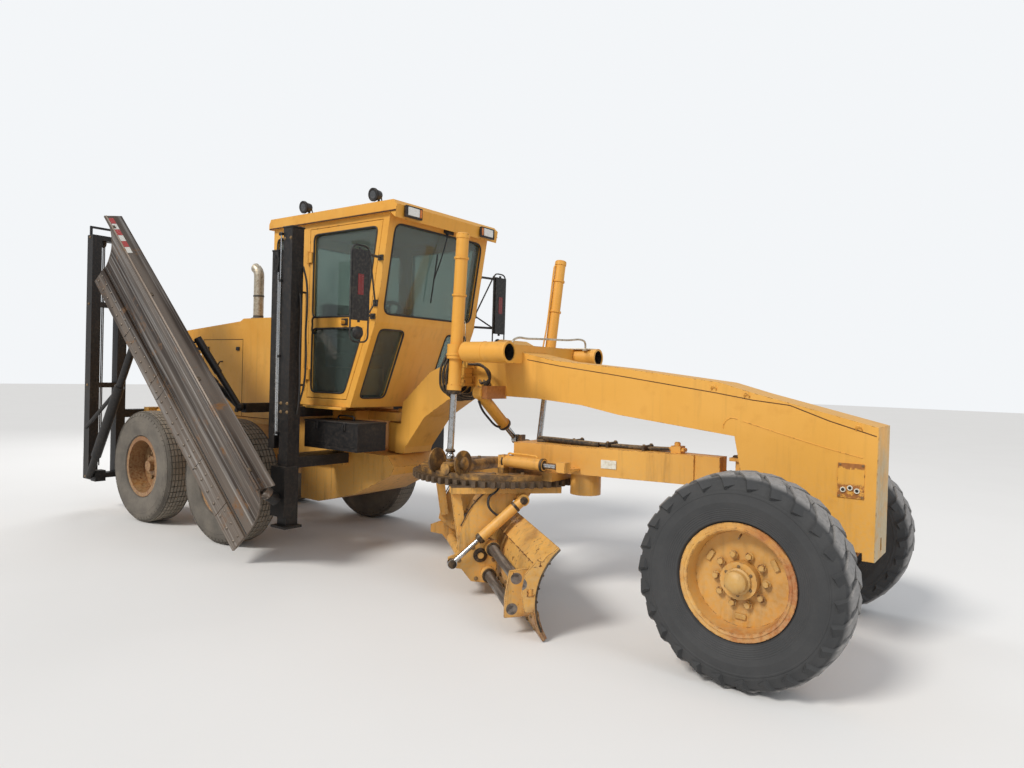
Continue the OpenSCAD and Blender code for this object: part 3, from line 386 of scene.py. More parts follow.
@dataclass(frozen=True)
class NosePaint(AgedPaint):
    """The main frame's paint, paler and chipped on the front plate, with a rusty port plate."""

    plate_x: float = 4.34
    ports_low: tuple[float, float] = (1.212, 1.19)
    ports_high: tuple[float, float] = (1.296, 1.306)
    ports_y: tuple[float, float] = (-0.0045, -0.0062)

    def wire(self, board: Board) -> None:
        """Wires the material's nodes."""
        front = board.step(board.axis("X"), self.plate_x - 0.001, self.plate_x + 0.001)
        torn = board.step(board.noise(7, 7, 0.7), 0.47, 0.56)
        pale = board.mix(torn, shade(176, 158, 120), shade(184, 146, 86))
        start = board.mix(front, self.base, pale)
        self.coat(board, start)
        ragged = board.noise(34, 7, 0.75)
        high = board.math("ADD", board.axis("Z"), board.math("MULTIPLY", ragged, 0.09))
        patch = board.math("MAXIMUM", board.step(high, *self.ports_high), board.math(
            "MULTIPLY", board.step(high, *self.ports_low), board.step(ragged, 0.42, 0.5)))
        colour = board.surface.inputs["Base Color"].links[0].from_socket
        face = board.step(board.axis("Y"), *self.ports_y)
        share = board.math("MULTIPLY", board.math("MULTIPLY", patch, 0.85), face)
        board.set(Base_Color=board.mix(share, colour, board.mix(
            board.noise(40), shade(92, 44, 26), shade(176, 108, 56))))


@dataclass(frozen=True)
class RimPaint(AgedPaint):
    """A rim's paint, rusty on the flange, and darker in the dish with grime and painted shade."""

    centre: tuple[float, float] = (FRONT_X, AXLE_Z)
    flange: Triple = shade(156, 82, 32)
    flange_radius: tuple[float, float] = (0.278, 0.296)
    bowl: float = 0.25
    bowl_radius: tuple[float, float] = (0.3, 0.23)

    def wire(self, board: Board) -> None:
        """Wires the material's nodes."""
        away = board.radius(self.centre)
        worn = board.math("MULTIPLY", board.step(away, *self.flange_radius), board.step(
            board.noise(9, 6, 0.65), 0.3, 0.52, 0.95, 0.45))
        start = board.mix(worn, self.base, self.flange)
        # Darker towards the middle of the dish: grime and painted shade in the recess.
        dish_shade_and_grime = board.math("MULTIPLY", board.step(away, *self.bowl_radius, self.bowl), board.step(
            board.noise(9, 6), 0.4, 0.6))
        start = board.mix(dish_shade_and_grime, start, self.grime)
        self.coat(board, start)


@dataclass(frozen=True)
class WornSteel(Finish):
    """Bare steel polished by the ground, with streaks along its length and a film of rust."""

    base: Triple = shade(124, 113, 103)
    dark: Triple = shade(68, 58, 51)
    bright: Triple = shade(206, 200, 192)
    rust: Triple = shade(140, 102, 58)
    turn: Triple = (0, -WING_SLOPE, 0)
    rusty: float = 0.5
    metal: float = 0.75

    def wire(self, board: Board) -> None:
        """Wires the material's nodes."""
        run = board.mapped((0.45, 30, 30), self.turn)
        long = board.noise(1.0, 6, 0.58, 0.15, run)
        wide = board.noise(1.0, 4, 0.5, 0.2, board.mapped((0.3, 6, 6), self.turn))
        colour = board.mix(board.step(wide, 0.36, 0.62), self.dark, self.base)
        colour = board.mix(board.step(long, 0.5, 0.74, 0.62), colour, self.bright)
        patch = board.noise(4.5, 7, 0.68)
        rust = board.math("MULTIPLY", board.step(patch, 0.62 - 0.14 * self.rusty, 0.74 - 0.14 * self.rusty),
                          board.step(long, 0.7, 0.45))
        edge = board.math("MULTIPLY", board.edges(0.012), board.step(board.noise(12, 5), 0.45, 0.6))
        rust = board.math("MAXIMUM", rust, board.math("MULTIPLY", edge, self.rusty))
        fine = board.noise(60, 6, 0.6)
        colour = board.mix(rust, colour, board.mix(fine, self.rust, shade(84, 50, 28)))
        board.set(Base_Color=colour, Metallic=board.step(rust, 0.0, 1.0, 0.05, self.metal),
                  Roughness=board.math("MAXIMUM", board.step(long, 0.35, 0.7, 0.34, 0.6),
                                       board.math("MULTIPLY", rust, 0.85)))
        board.bump(board.math("ADD", board.math("MULTIPLY", fine, 0.4), long), 0.0007)


@dataclass(frozen=True)
class BladeCoat(AgedPaint):
    """Worn yellow on the moldboard's back, and bare steel on its front face and its two rails."""

    rails: tuple[tuple[float, float], ...] = ((-0.178, 0.4), (-0.205, 0.19))
    rail_radius: tuple[float, float] = (0.042, 0.039)

    def wire(self, board: Board) -> None:
        """Wires the material's nodes."""
        self.coat(board, board.mix(board.step(board.noise(3, 6, 0.65), 0.4, 0.62), self.base, self.rust))
        colour = board.surface.inputs["Base Color"].links[0].from_socket
        ahead = board.step(board.along((0.656, 0.755, 0.0)), 0.15, 0.35)
        run = board.noise(1.0, 6, 0.6, 0.3, board.mapped((18, 1.2, 18), (0, 0, -BLADE_YAW)))
        steel = board.mix(board.step(run, 0.4, 0.68), shade(44, 35, 30), shade(142, 128, 112))
        colour = board.mix(ahead, colour, steel)
        own = board.mapped(turn=(0, 0, -BLADE_YAW), shift=(-CIRCLE_X, -CIRCLE_Y, 0))
        for x, z in self.rails:
            away = board.tree.nodes.new("ShaderNodeVectorMath")
            away.operation = "LENGTH"
            flat = board.tree.nodes.new("ShaderNodeVectorMath")
            flat.operation = "MULTIPLY_ADD"
            board.plug(flat.inputs[0], own)
            flat.inputs[1].default_value, flat.inputs[2].default_value = (1, 0, 1), (-x, 0, -z)
            board.plug(away.inputs[0], flat.outputs[0])
            share = board.step(away.outputs["Value"], *self.rail_radius)
            colour = board.mix(share, colour, board.mix(board.step(run, 0.4, 0.6), shade(74, 66, 60),
                                                        shade(128, 120, 112)))
        board.set(Base_Color=colour)


@dataclass(frozen=True)
class CircleCoat(AgedPaint):
    """Worn paint on the circle's arms, and dark grease on its toothed ring."""

    ring_z: tuple[float, float] = (0.882, 0.888)

    def wire(self, board: Board) -> None:
        """Wires the material's nodes."""
        self.coat(board, self.base)
        colour = board.surface.inputs["Base Color"].links[0].from_socket
        ring = board.step(board.axis("Z"), *self.ring_z)
        grease = board.mix(board.noise(28, 6, 0.62), shade(46, 38, 30), shade(112, 90, 66))
        board.set(Base_Color=board.mix(ring, colour, grease))


@dataclass(frozen=True)
class DrawbarCoat(AgedPaint):
    """The drawbar's paint, under old grease round the circle and on the stud cheeks."""

    plate_z: tuple[float, float] = (1.034, 1.02)
    plate_x: tuple[float, float] = (2.0, 1.8)
    stud_x: float = 1.2175

    def wire(self, board: Board) -> None:
        """Wires the material's nodes."""
        self.coat(board, self.base)
        colour = board.surface.inputs["Base Color"].links[0].from_socket
        plate = board.math("MULTIPLY", board.step(board.axis("Z"), *self.plate_z),
                           board.step(board.axis("X"), *self.plate_x))
        cheeks = board.step(board.math("ABSOLUTE", board.math(
            "SUBTRACT", board.axis("X"), self.stud_x)), 0.2, 0.17)
        where = board.math("MAXIMUM", plate, cheeks)
        share = board.math("MULTIPLY", where, board.step(board.noise(7, 7, 0.7), 0.36, 0.6, 0.95, 0.35))
        grease = board.mix(board.noise(30, 6, 0.65), shade(40, 32, 26), shade(98, 76, 54))
        board.set(Base_Color=board.mix(share, colour, grease))


@dataclass(frozen=True)
class Rubber(Finish):
    """Tyre rubber with moulded rings, scuffs and dust."""

    base: Triple = shade(38, 40, 42)
    dust: Triple = shade(142, 136, 128)
    dusty: float = 0.4
    centre: tuple[float, float] = (FRONT_X, AXLE_Z)
    rings: float = 1.0
    ring_waves: float = 520.0
    scuffed: float = 0.62
    tread: tuple[float, float] = (0.604, 0.628)

    def wire(self, board: Board) -> None:
        """Wires the material's nodes."""
        away = board.radius(self.centre)
        fine = board.noise(46, 6, 0.6)
        cloud = board.noise(5, 5, 0.6)
        colour = board.mix(board.step(fine, 0.3, 0.8, 0.7), self.base, shade(50, 51, 53))
        tread = board.step(away, *self.tread, self.scuffed)
        share = board.math("ADD", board.step(cloud, 0.2, 0.85, self.dusty, 0.4 * self.dusty), board.math(
            "MULTIPLY", tread, board.step(fine, 0.25, 0.6, 0.85, 0.45)))
        colour = board.mix(share, colour, self.dust)
        board.set(Base_Color=colour, Roughness=board.step(fine, 0.2, 0.8, 0.9, 0.66))
        wave = board.math("SINE", board.math("MULTIPLY", away, self.ring_waves))
        band = board.math("MULTIPLY", board.step(away, 0.36, 0.37), board.step(away, 0.44, 0.43))
        ring = board.math("MULTIPLY", board.math("MULTIPLY", wave, band), 0.5 * self.rings)
        rim = board.math("MULTIPLY", board.step(away, 0.515, 0.52), board.step(away, 0.532, 0.527))
        board.bump(board.math("ADD", board.math("MULTIPLY", fine, 0.5), board.math(
            "ADD", ring, board.math("MULTIPLY", rim, 1.4 * self.rings))), 0.0016)


@dataclass(frozen=True)
class PlainCoat(Finish):
    """A plain dark or light surface with scuffs, dust and a fine grain."""

    base: Triple = shade(30, 30, 31)
    worn: Triple = shade(70, 66, 60)
    dust: Triple = shade(150, 134, 110)
    rough: float = 0.5
    metal: float = 0.0
    dusty: float = 0.35
    grain: float = 40.0
    depth: float = 0.0005

    def wire(self, board: Board) -> None:
        """Wires the material's nodes."""
        fine = board.noise(self.grain, 6, 0.62)
        cloud = board.noise(2.6, 5, 0.6)
        colour = board.mix(board.step(fine, 0.4, 0.72), self.base, self.worn)
        up = board.step(board.along((0, 0, 1)), 0.4, 0.95, self.dusty)
        share = board.math("MAXIMUM", up, board.step(cloud, 0.52, 0.8, self.dusty))
        colour = board.mix(board.math("MULTIPLY", share, board.step(fine, 0.25, 0.6)), colour, self.dust)
        edge = board.math("MULTIPLY", board.edges(0.006), board.step(cloud, 0.4, 0.6, 0.7))
        colour = board.mix(edge, colour, self.worn)
        board.set(Base_Color=colour, Metallic=self.metal,
                  Roughness=board.step(fine, 0.25, 0.75, min(1.0, self.rough + 0.14), self.rough - 0.05))
        board.bump(fine, self.depth)


@dataclass(frozen=True)
class TintedGlass(Finish):
    """Dark tinted glass with a film of dust."""

    tint: Triple = shade(152, 170, 163)

    def wire(self, board: Board) -> None:
        """Wires the material's nodes."""
        film = board.noise(2.2, 6, 0.6, where=board.mapped((1.5, 1.5, 0.7)))
        smear = board.step(film, 0.4, 0.75)
        board.set(Base_Color=board.mix(board.math("MULTIPLY", smear, 0.25), self.tint, shade(176, 172, 158)),
                  Roughness=board.step(film, 0.35, 0.8, 0.22, 0.03), IOR=1.5,
                  Transmission_Weight=0.86)


@dataclass(frozen=True)
class Lens(Finish):
    """A lamp lens or reflector with ribs."""

    tint: Triple = shade(232, 232, 226)
    ribs: float = 180.0

    def wire(self, board: Board) -> None:
        """Wires the material's nodes."""
        rib = board.math("SINE", board.math("MULTIPLY", board.axis("Y"), self.ribs))
        fine = board.noise(110, 4)
        board.set(Base_Color=board.mix(board.step(fine, 0.35, 0.85, 0.3), self.tint, shade(96, 90, 82)),
                  Roughness=board.step(fine, 0.2, 0.8, 0.35, 0.12), Coat_Weight=0.5)
        board.bump(rib, 0.0008)


class Coat:
    """The machine's finishes."""

    frame = NosePaint("frame paint", "frame_paint", base=shade(223, 163, 66), dirt=0.3)
    body = AgedPaint("body paint", "body_paint", chips=0.25, dirt=0.35, dust_z=(0.8, 1.7))
    axle = AgedPaint("axle paint", "axle_paint", base=shade(206, 150, 72), dirt=0.9, chips=0.7,
                     dust_z=(0.3, 1.1))
    gear = AgedPaint("drawbar paint", "frame_paint", base=shade(216, 156, 68), dirt=0.8, chips=0.9)
    drawbar = DrawbarCoat("greasy drawbar paint", "frame_paint", base=shade(216, 156, 68), dirt=0.6,
                          chips=0.9)
    circle = CircleCoat("circle coat", "blade_paint", base=shade(210, 152, 68), dirt=0.9, chips=1.0)
    blade = BladeCoat("blade coat", "blade_paint", base=shade(206, 150, 70), dirt=1.0, chips=1.3)
    cylinder = AgedPaint("cylinder paint", "cylinder_paint", dirt=0.4, chips=0.35)
    rim_front = RimPaint("front rim paint", "rim_paint", base=shade(205, 146, 58), faded=shade(214, 160, 76),
                         chips=0.8)
    hub_front = AgedPaint("front hub paint", "rim_paint", base=shade(186, 138, 62), faded=shade(200, 156, 84),
                          deep=shade(140, 100, 44), chips=0.7)
    # The tandem rims: a dark brown that is rust partly darkened as painted shade, with strong darkening in
    # the dish (bowl) that is grime and painted shade.
    rim_mid = RimPaint("middle rim paint", "rim_paint", base=shade(98, 60, 34), faded=shade(122, 76, 42),
                       flange=shade(132, 88, 52), centre=(MID_X, AXLE_Z), chips=1.2, bowl=0.9, dirt=1.0)
    rim_rear = RimPaint("rear rim paint", "rim_paint", base=shade(98, 60, 34), faded=shade(122, 76, 42),
                        flange=shade(132, 88, 52), centre=(REAR_X, AXLE_Z), chips=1.2, bowl=0.9, dirt=1.0)
    chrome = PlainCoat("rod chrome", "rod_chrome", base=shade(196, 197, 198), worn=shade(160, 158, 152),
                       rough=0.2, metal=1.0, dusty=0.12, depth=0.0001)
    grease = PlainCoat("greasy steel", "greasy_steel", base=shade(52, 44, 36), worn=shade(104, 84, 62),
                       rough=0.45, metal=0.45, dusty=0.5, grain=28, depth=0.0012)
    black = PlainCoat("black paint", "black_paint", base=shade(16, 16, 17), worn=shade(50, 43, 38),
                      dusty=0.08)
    grille = PlainCoat("grille paint", "grille_paint", base=shade(34, 34, 34))
    iron = PlainCoat("engine iron", "engine_iron", base=shade(74, 73, 70), worn=shade(102, 96, 86),
                     rough=0.7, grain=22, depth=0.001)
    stack = PlainCoat("stack metal", "stack_metal", base=shade(206, 198, 180), worn=shade(160, 142, 116),
                      rough=0.42, metal=0.55, dusty=0.3)
    glass = TintedGlass("cab glass", "cab_glass")
    vinyl = PlainCoat("seat vinyl", "seat_vinyl", base=shade(36, 36, 38), worn=shade(60, 60, 62),
                      dusty=0.15, grain=220, depth=0.0003)
    plastic = PlainCoat("cab plastic", "cab_plastic", base=shade(38, 38, 40), rough=0.62, dusty=0.15)
    mirror = PlainCoat("mirror plastic", "mirror_plastic", base=shade(28, 28, 29), dusty=0.15)
    lamp = PlainCoat("lamp plastic", "lamp_plastic", base=shade(32, 32, 34), rough=0.35, dusty=0.2)
    wing = WornSteel("wing steel", "wing_steel")
    tyre_front = Rubber("front tyre", "tyre", dust=shade(152, 149, 146), dusty=0.1, scuffed=0.95)
    tyre_mid = Rubber("middle tyre", "tyre", base=shade(42, 40, 38), dust=shade(140, 131, 118),
                      centre=(MID_X, AXLE_Z), dusty=0.62, tread=(0.626, 0.632))
    tyre_rear = Rubber("rear tyre", "tyre", base=shade(42, 40, 38), dust=shade(140, 131, 118),
                       centre=(REAR_X, AXLE_Z), dusty=0.68, tread=(0.626, 0.632))
    hose = PlainCoat("hose rubber", "black_paint", base=shade(30, 30, 31), worn=shade(58, 54, 50),
                     rough=0.6, grain=90, dusty=0.3)
    old_hose = PlainCoat("dusty hose", "black_paint", base=shade(38, 35, 32), worn=shade(92, 76, 58),
                         dust=shade(158, 134, 100), rough=0.75, grain=60, dusty=0.8)
    # Painted seam shadow: a dark brown laid on thin strips where seams, panel gaps and the roof's edge are in
    # shade.
    seam = PlainCoat("seam shadow", "frame_paint", base=shade(60, 36, 18), worn=shade(110, 66, 32),
                     rough=0.8)
    bolt = PlainCoat("bolt steel", "greasy_steel", base=shade(120, 96, 66), worn=shade(160, 132, 94),
                     rough=0.5, metal=0.4, grain=120)
    edge_bolt = PlainCoat("worn bolt steel", "wing_steel", base=shade(92, 80, 70), worn=shade(150, 140, 128),
                          rough=0.4, metal=0.7, grain=120)
    lens = Lens("lamp lens", "lamp_plastic")
    amber = Lens("amber lens", "lamp_plastic", tint=shade(214, 120, 34))
    dark_lens = Lens("dark lens", "lamp_plastic", tint=shade(66, 68, 70))
    red = Lens("red lens", "lamp_plastic", tint=shade(128, 30, 26))
    tape_red = Lens("red tape", "wing_steel", tint=shade(170, 40, 36), ribs=600)
    tape_white = Lens("white tape", "wing_steel", tint=shade(216, 214, 206), ribs=600)
    label = PlainCoat("blank label", "frame_paint", base=shade(226, 222, 208), worn=shade(200, 190, 168),
                      rough=0.5, dusty=0.2)


# The moves of the hand that every piece is made with


def free_hands() -> None:
    """Leaves edit mode and deselects everything."""
    if bpy.context.object is not None and bpy.context.object.mode != "OBJECT":
        bpy.ops.object.mode_set(mode="OBJECT")
    bpy.ops.object.select_all(action="DESELECT")


def take(pieces: Iterable[Piece]) -> None:
    """Selects pieces and makes the first one active."""
    free_hands()
    for index, piece in enumerate(pieces):
        piece.select_set(True)
        if index == 0:
            bpy.context.view_layer.objects.active = piece


def choose(piece: Piece, test: Callable[[Vector], bool]) -> None:
    """Enters edit mode with the faces selected that pass a test.

    Args:
        piece: The piece.
        test: Takes a face's centre.
    """
    take([piece])
    bpy.ops.object.mode_set(mode="EDIT")
    bpy.ops.mesh.select_mode(type="FACE")
    bpy.ops.mesh.select_all(action="DESELECT")
    bpy.ops.object.mode_set(mode="OBJECT")
    for face in piece.data.polygons:
        face.select = test(face.center)
    bpy.ops.object.mode_set(mode="EDIT")


def rounded(piece: Piece, width: float, steps: int = 1) -> Piece:
    """Rounds the sharp edges of a piece.

    Args:
        piece: The piece.
        width: Width of the rounding in millimetres.
        steps: Segments of the rounding.

    Returns:
        The same piece.
    """
    take([piece])
    tool = piece.modifiers.new("rounding", "BEVEL")
    tool.width, tool.segments = width / 1000, steps
    tool.limit_method, tool.angle_limit = "ANGLE", math.radians(35)
    bpy.ops.object.modifier_apply(modifier=tool.name)
    return piece


def block(low: Triple, high: Triple, edge: float = 2.0) -> Piece:
    """A block with rounded edges.

    Args:
        low: Lowest corner in millimetres.
        high: Highest corner in millimetres.
        edge: Width of the rounding.

    Returns:
        The piece.
    """
    free_hands()
    a, b = Vector(low) / 1000, Vector(high) / 1000
    bpy.ops.mesh.primitive_cube_add(size=1.0, location=(a + b) / 2)
    piece = bpy.context.object
    piece.scale = b - a
    bpy.ops.object.transform_apply(location=True, rotation=True, scale=True)
    return rounded(piece, edge) if edge else piece


def slab(y: float, deep: float, x: tuple[float, float], z: tuple[float, float],
         edge: float = 2.0) -> Piece:
    """A block that stands off a side wall, to the left or to the right.

    Args:
        y: Where the wall lies, in millimetres.
        deep: How far it stands off, below 0 to the right.
        x: Its ends along the machine.
        z: Its foot and its top.
        edge: Width of the rounding.

    Returns:
        The piece.
    """
    return block((x[0], min(y, y + deep), z[0]), (x[1], max(y, y + deep), z[1]), edge)


def around(count: int, radius: float, start: float = 0.0) -> list[tuple[float, float]]:
    """Places round a circle.

    Args:
        count: How many places.
        radius: Radius of the circle.
        start: Angle of the first place in degrees.

    Returns:
        The two coordinates of each place.
    """
    turns = [math.radians(360 / count * index + start) for index in range(count)]
    return [(radius * math.cos(t), radius * math.sin(t)) for t in turns]


def frame_of(axis: Vector) -> Matrix:
    """A turn that lays +Z along an axis."""
    return axis.to_track_quat("Z", "Y").to_matrix().to_4x4()


def turned(profile: Sequence[tuple[float, float]], seat: Triple, axis: Triple, sides: int = 24,
           ring: bool = False) -> Piece:
    """A turned piece: each step of the profile is extruded from the last one.

    Args:
        profile: Radius and height of each step in millimetres.
        seat: Where height 0 lies, in millimetres.
        axis: The way that height grows.
        sides: Faces around.
        ring: True to close the profile on itself, as in a tyre.

    Returns:
        The piece.
    """
    free_hands()
    radius, height = profile[0]
    bpy.ops.mesh.primitive_circle_add(vertices=sides, radius=radius / 1000,
                                      fill_type="NOTHING" if ring else "NGON", location=(0, 0, 0))
    piece = bpy.context.object
    bpy.ops.object.mode_set(mode="EDIT")
    bpy.ops.mesh.select_mode(type="VERT")
    bpy.ops.mesh.select_all(action="SELECT")
    bpy.ops.transform.translate(value=(0, 0, height / 1000))
    for wide, high in profile[1:]:
        lift = {"value": (0, 0, (high - height) / 1000)}
        if ring:
            bpy.ops.mesh.extrude_edges_move(TRANSFORM_OT_translate=lift)
        else:
            bpy.ops.mesh.extrude_region_move(TRANSFORM_OT_translate=lift)
        scale = max(wide, 0.2) / max(radius, 0.2)
        bpy.ops.transform.resize(value=(scale, scale, 1), center_override=(0, 0, high / 1000))
        radius, height = wide, high
    bpy.ops.mesh.select_all(action="SELECT")
    if ring:
        bpy.ops.mesh.remove_doubles(threshold=0.00005)
    bpy.ops.mesh.normals_make_consistent(inside=False)
    bpy.ops.object.mode_set(mode="OBJECT")
    piece.matrix_world = Matrix.Translation(Vector(seat) / 1000) @ frame_of(Vector(axis))
    bpy.ops.object.transform_apply(location=True, rotation=True, scale=True)
    return piece


def rod(start: Triple, end: Triple, radius: float, sides: int = 16, edge: float = 1.0) -> Piece:
    """A round rod with eased ends.

    Args:
        start: One end in millimetres.
        end: The other end.
        radius: Radius in millimetres.
        sides: Faces around.
        edge: Width of the easing.

    Returns:
        The piece.
    """
    way = Vector(end) - Vector(start)
    long = way.length
    ease = min(edge, radius / 2)
    return turned([(radius - ease, 0), (radius, ease), (radius, long - ease), (radius - ease, long)],
                  start, way.normalized(), sides)


def pipe(points: Sequence[Triple], radius: float, sides: int = 3) -> Piece:
    """A smooth pipe or hose through points.

    Args:
        points: The points in millimetres.
        radius: Radius in millimetres.
        sides: Half the number of faces around, less one.

    Returns:
        The piece, as a mesh.
    """
    free_hands()
    bpy.ops.curve.primitive_bezier_curve_add(location=(0, 0, 0))
    piece = bpy.context.object
    curve = piece.data
    curve.dimensions = "3D"
    curve.bevel_depth, curve.bevel_resolution = radius / 1000, sides
    curve.resolution_u, curve.use_fill_caps = 6, True
    line = curve.splines[0]
    line.bezier_points.add(len(points) - len(line.bezier_points))
    for knot, point in zip(line.bezier_points, points):
        knot.co = Vector(point) / 1000
        knot.handle_left_type = knot.handle_right_type = "AUTO"
    bpy.ops.object.convert(target="MESH")
    return bpy.context.object


def drawn(points: Sequence[Triple], radius: float = 0.0, thick: float = 0.0, sides: int = 1) -> Piece:
    """A closed line with straight runs, as a rim of the given radius or as a filled plate.

    Args:
        points: The corners in millimetres; a plate's corners lie in X and Y.
        radius: Radius of the rim, or 0 for a plate.
        thick: Thickness of the plate.
        sides: Half the number of faces around the rim, less one.

    Returns:
        The piece, as a mesh.
    """
    free_hands()
    bpy.ops.curve.primitive_bezier_curve_add(location=(0, 0, 0))
    piece = bpy.context.object
    curve = piece.data
    curve.dimensions = "2D" if thick else "3D"
    curve.extrude = thick / 2000
    curve.bevel_depth, curve.bevel_resolution = radius / 1000, sides
    line = curve.splines[0]
    line.bezier_points.add(len(points) - len(line.bezier_points))
    for knot, point in zip(line.bezier_points, points):
        knot.handle_left_type = knot.handle_right_type = "VECTOR"
        knot.co = Vector(point) / 1000
    line.use_cyclic_u = True
    line.resolution_u = 1
    if thick:
        curve.fill_mode = "BOTH"
    bpy.ops.object.convert(target="MESH")
    piece = bpy.context.object
    bpy.ops.object.mode_set(mode="EDIT")
    bpy.ops.mesh.select_all(action="SELECT")
    bpy.ops.mesh.remove_doubles(threshold=0.00002)
    bpy.ops.mesh.normals_make_consistent(inside=False)
    bpy.ops.object.mode_set(mode="OBJECT")
    return piece


def eased(corners: Sequence[Triple], reach: float, steps: int = 5) -> list[list[Vector]]:
    """Rounds the corners of an outline.

    Args:
        corners: The corners in order.
        reach: How far from a corner its bow starts.
        steps: Points on each bow.

    Returns:
        The points of each corner's bow.
    """
    bows = []
    for index, corner in enumerate(corners):
        here = Vector(corner)
        before, after = Vector(corners[index - 1]), Vector(corners[(index + 1) % len(corners)])
        start = here + (before - here).normalized() * reach
        end = here + (after - here).normalized() * reach
        bows.append([start * (1 - t) ** 2 + here * 2 * t * (1 - t) + end * t * t
                     for t in (k / (steps - 1) for k in range(steps))])
    return bows


def copies(first: Piece, spots: Iterable[Matrix]) -> list[Piece]:
    """Copies a piece to each spot, each copy with its own mesh, and takes the first away.

    Args:
        first: The piece, modelled at the origin.
        spots: Where each copy goes.

    Returns:
        The copies.
    """
    out = []
    for spot in spots:
        twin = first.copy()
        twin.data = first.data.copy()
        twin.matrix_world = spot
        bpy.context.collection.objects.link(twin)
        out.append(twin)
    bpy.data.objects.remove(first, do_unlink=True)
    return out


def bolts(seats: Iterable[tuple[Triple, Triple]], wide: float = 11.0, high: float = 9.0,
          washer: bool = True) -> list[Piece]:
    """Hexagon bolt heads with washers.

    Args:
        seats: Each bolt's place in millimetres and the way that it points.
        wide: Radius of the head.
        high: Height of the head.
        washer: True to put a washer under it.

    Returns:
        The bolts.
    """
    head = turned([(wide, 0), (wide, high - 2), (wide - 2, high)], (0, 0, 0), (0, 0, 1), 6)
    if washer:
        plate = turned([(wide * 1.35, -0.5), (wide * 1.35, 1.6), (wide * 1.2, 2.4)], (0, 0, 0), (0, 0, 1), 12)
        take([head, plate])
        bpy.ops.object.join()
    return copies(head, (Matrix.Translation(Vector(seat) / 1000) @ frame_of(Vector(way))
                         for seat, way in seats))


def assemble(name: str, parts: Sequence[Piece], body: Union[Body, str], finish: Finish,
             spot: Matrix = MACHINE, angle: float = 40.0) -> Piece:
    """Joins parts into one finished piece.

    Args:
        name: The piece's name.
        parts: The parts, in the spot's own frame.
        body: The body that it rides on.
        finish: Its finish.
        spot: The frame that the parts are drawn in.
        angle: Edges under this angle look smooth.

    Returns:
        The piece.
    """
    take(parts)
    if len(parts) > 1:
        bpy.ops.object.join()
    piece = bpy.context.object
    piece.name = piece.data.name = name
    bpy.ops.object.transform_apply(location=True, rotation=True, scale=True)
    piece.matrix_world = spot
    bpy.ops.object.transform_apply(location=True, rotation=True, scale=True)
    bpy.ops.object.shade_smooth_by_angle(angle=math.radians(angle))
    piece.data.materials.clear()
    piece.data.materials.append(finish.material)
    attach(piece, body.value if isinstance(body, Body) else body)
    LOG.info("%s: %d faces", name, len(piece.data.polygons))
    return piece


# The sub-assemblies


@dataclass
class PackedParts:
    """Gives every carried-over solid its finish."""

    def dress(self) -> None:
        """Assigns a finish to each node by its name."""
        by_slot = {"frame_paint": Coat.gear, "axle_paint": Coat.axle, "body_paint": Coat.body,
                   "blade_paint": Coat.blade, "cylinder_paint": Coat.cylinder, "rod_chrome": Coat.chrome,
                   "greasy_steel": Coat.grease, "black_paint": Coat.black, "grille_paint": Coat.grille,
                   "engine_iron": Coat.iron, "stack_metal": Coat.stack, "cab_glass": Coat.glass,
                   "seat_vinyl": Coat.vinyl, "cab_plastic": Coat.plastic, "mirror_plastic": Coat.mirror,
                   "lamp_plastic": Coat.lamp, "wing_steel": Coat.wing}
        by_name = {"main_frame": Coat.frame, "blade_circle": Coat.circle, "drawbar": Coat.drawbar,
                   "lift_saddle": Coat.cylinder, "rim_front": Coat.rim_front,
                   "rim_mid": Coat.rim_mid, "rim_rear": Coat.rim_rear, "tyre_front": Coat.tyre_front,
                   "tyre_mid": Coat.tyre_mid, "tyre_rear": Coat.tyre_rear}
        slots = {row["node"]: row["material_slot"] for row in frame["record"]["subparts"]}
        for node in frame["nodes"]:
            named = [finish for key, finish in by_name.items() if node.startswith(key)]
            finish = named[0] if named else by_slot[slots[node]]
            self.coat(bpy.data.objects[node], finish)
        LOG.info("finishes on %d nodes", len(frame["nodes"]))

    @staticmethod
    def coat(part: Piece, finish: Finish) -> None:
        """Assigns a finish to all the material slots of a node."""
        if not part.material_slots:
            part.data.materials.append(finish.material)
        for slot in part.material_slots:
            slot.material = finish.material


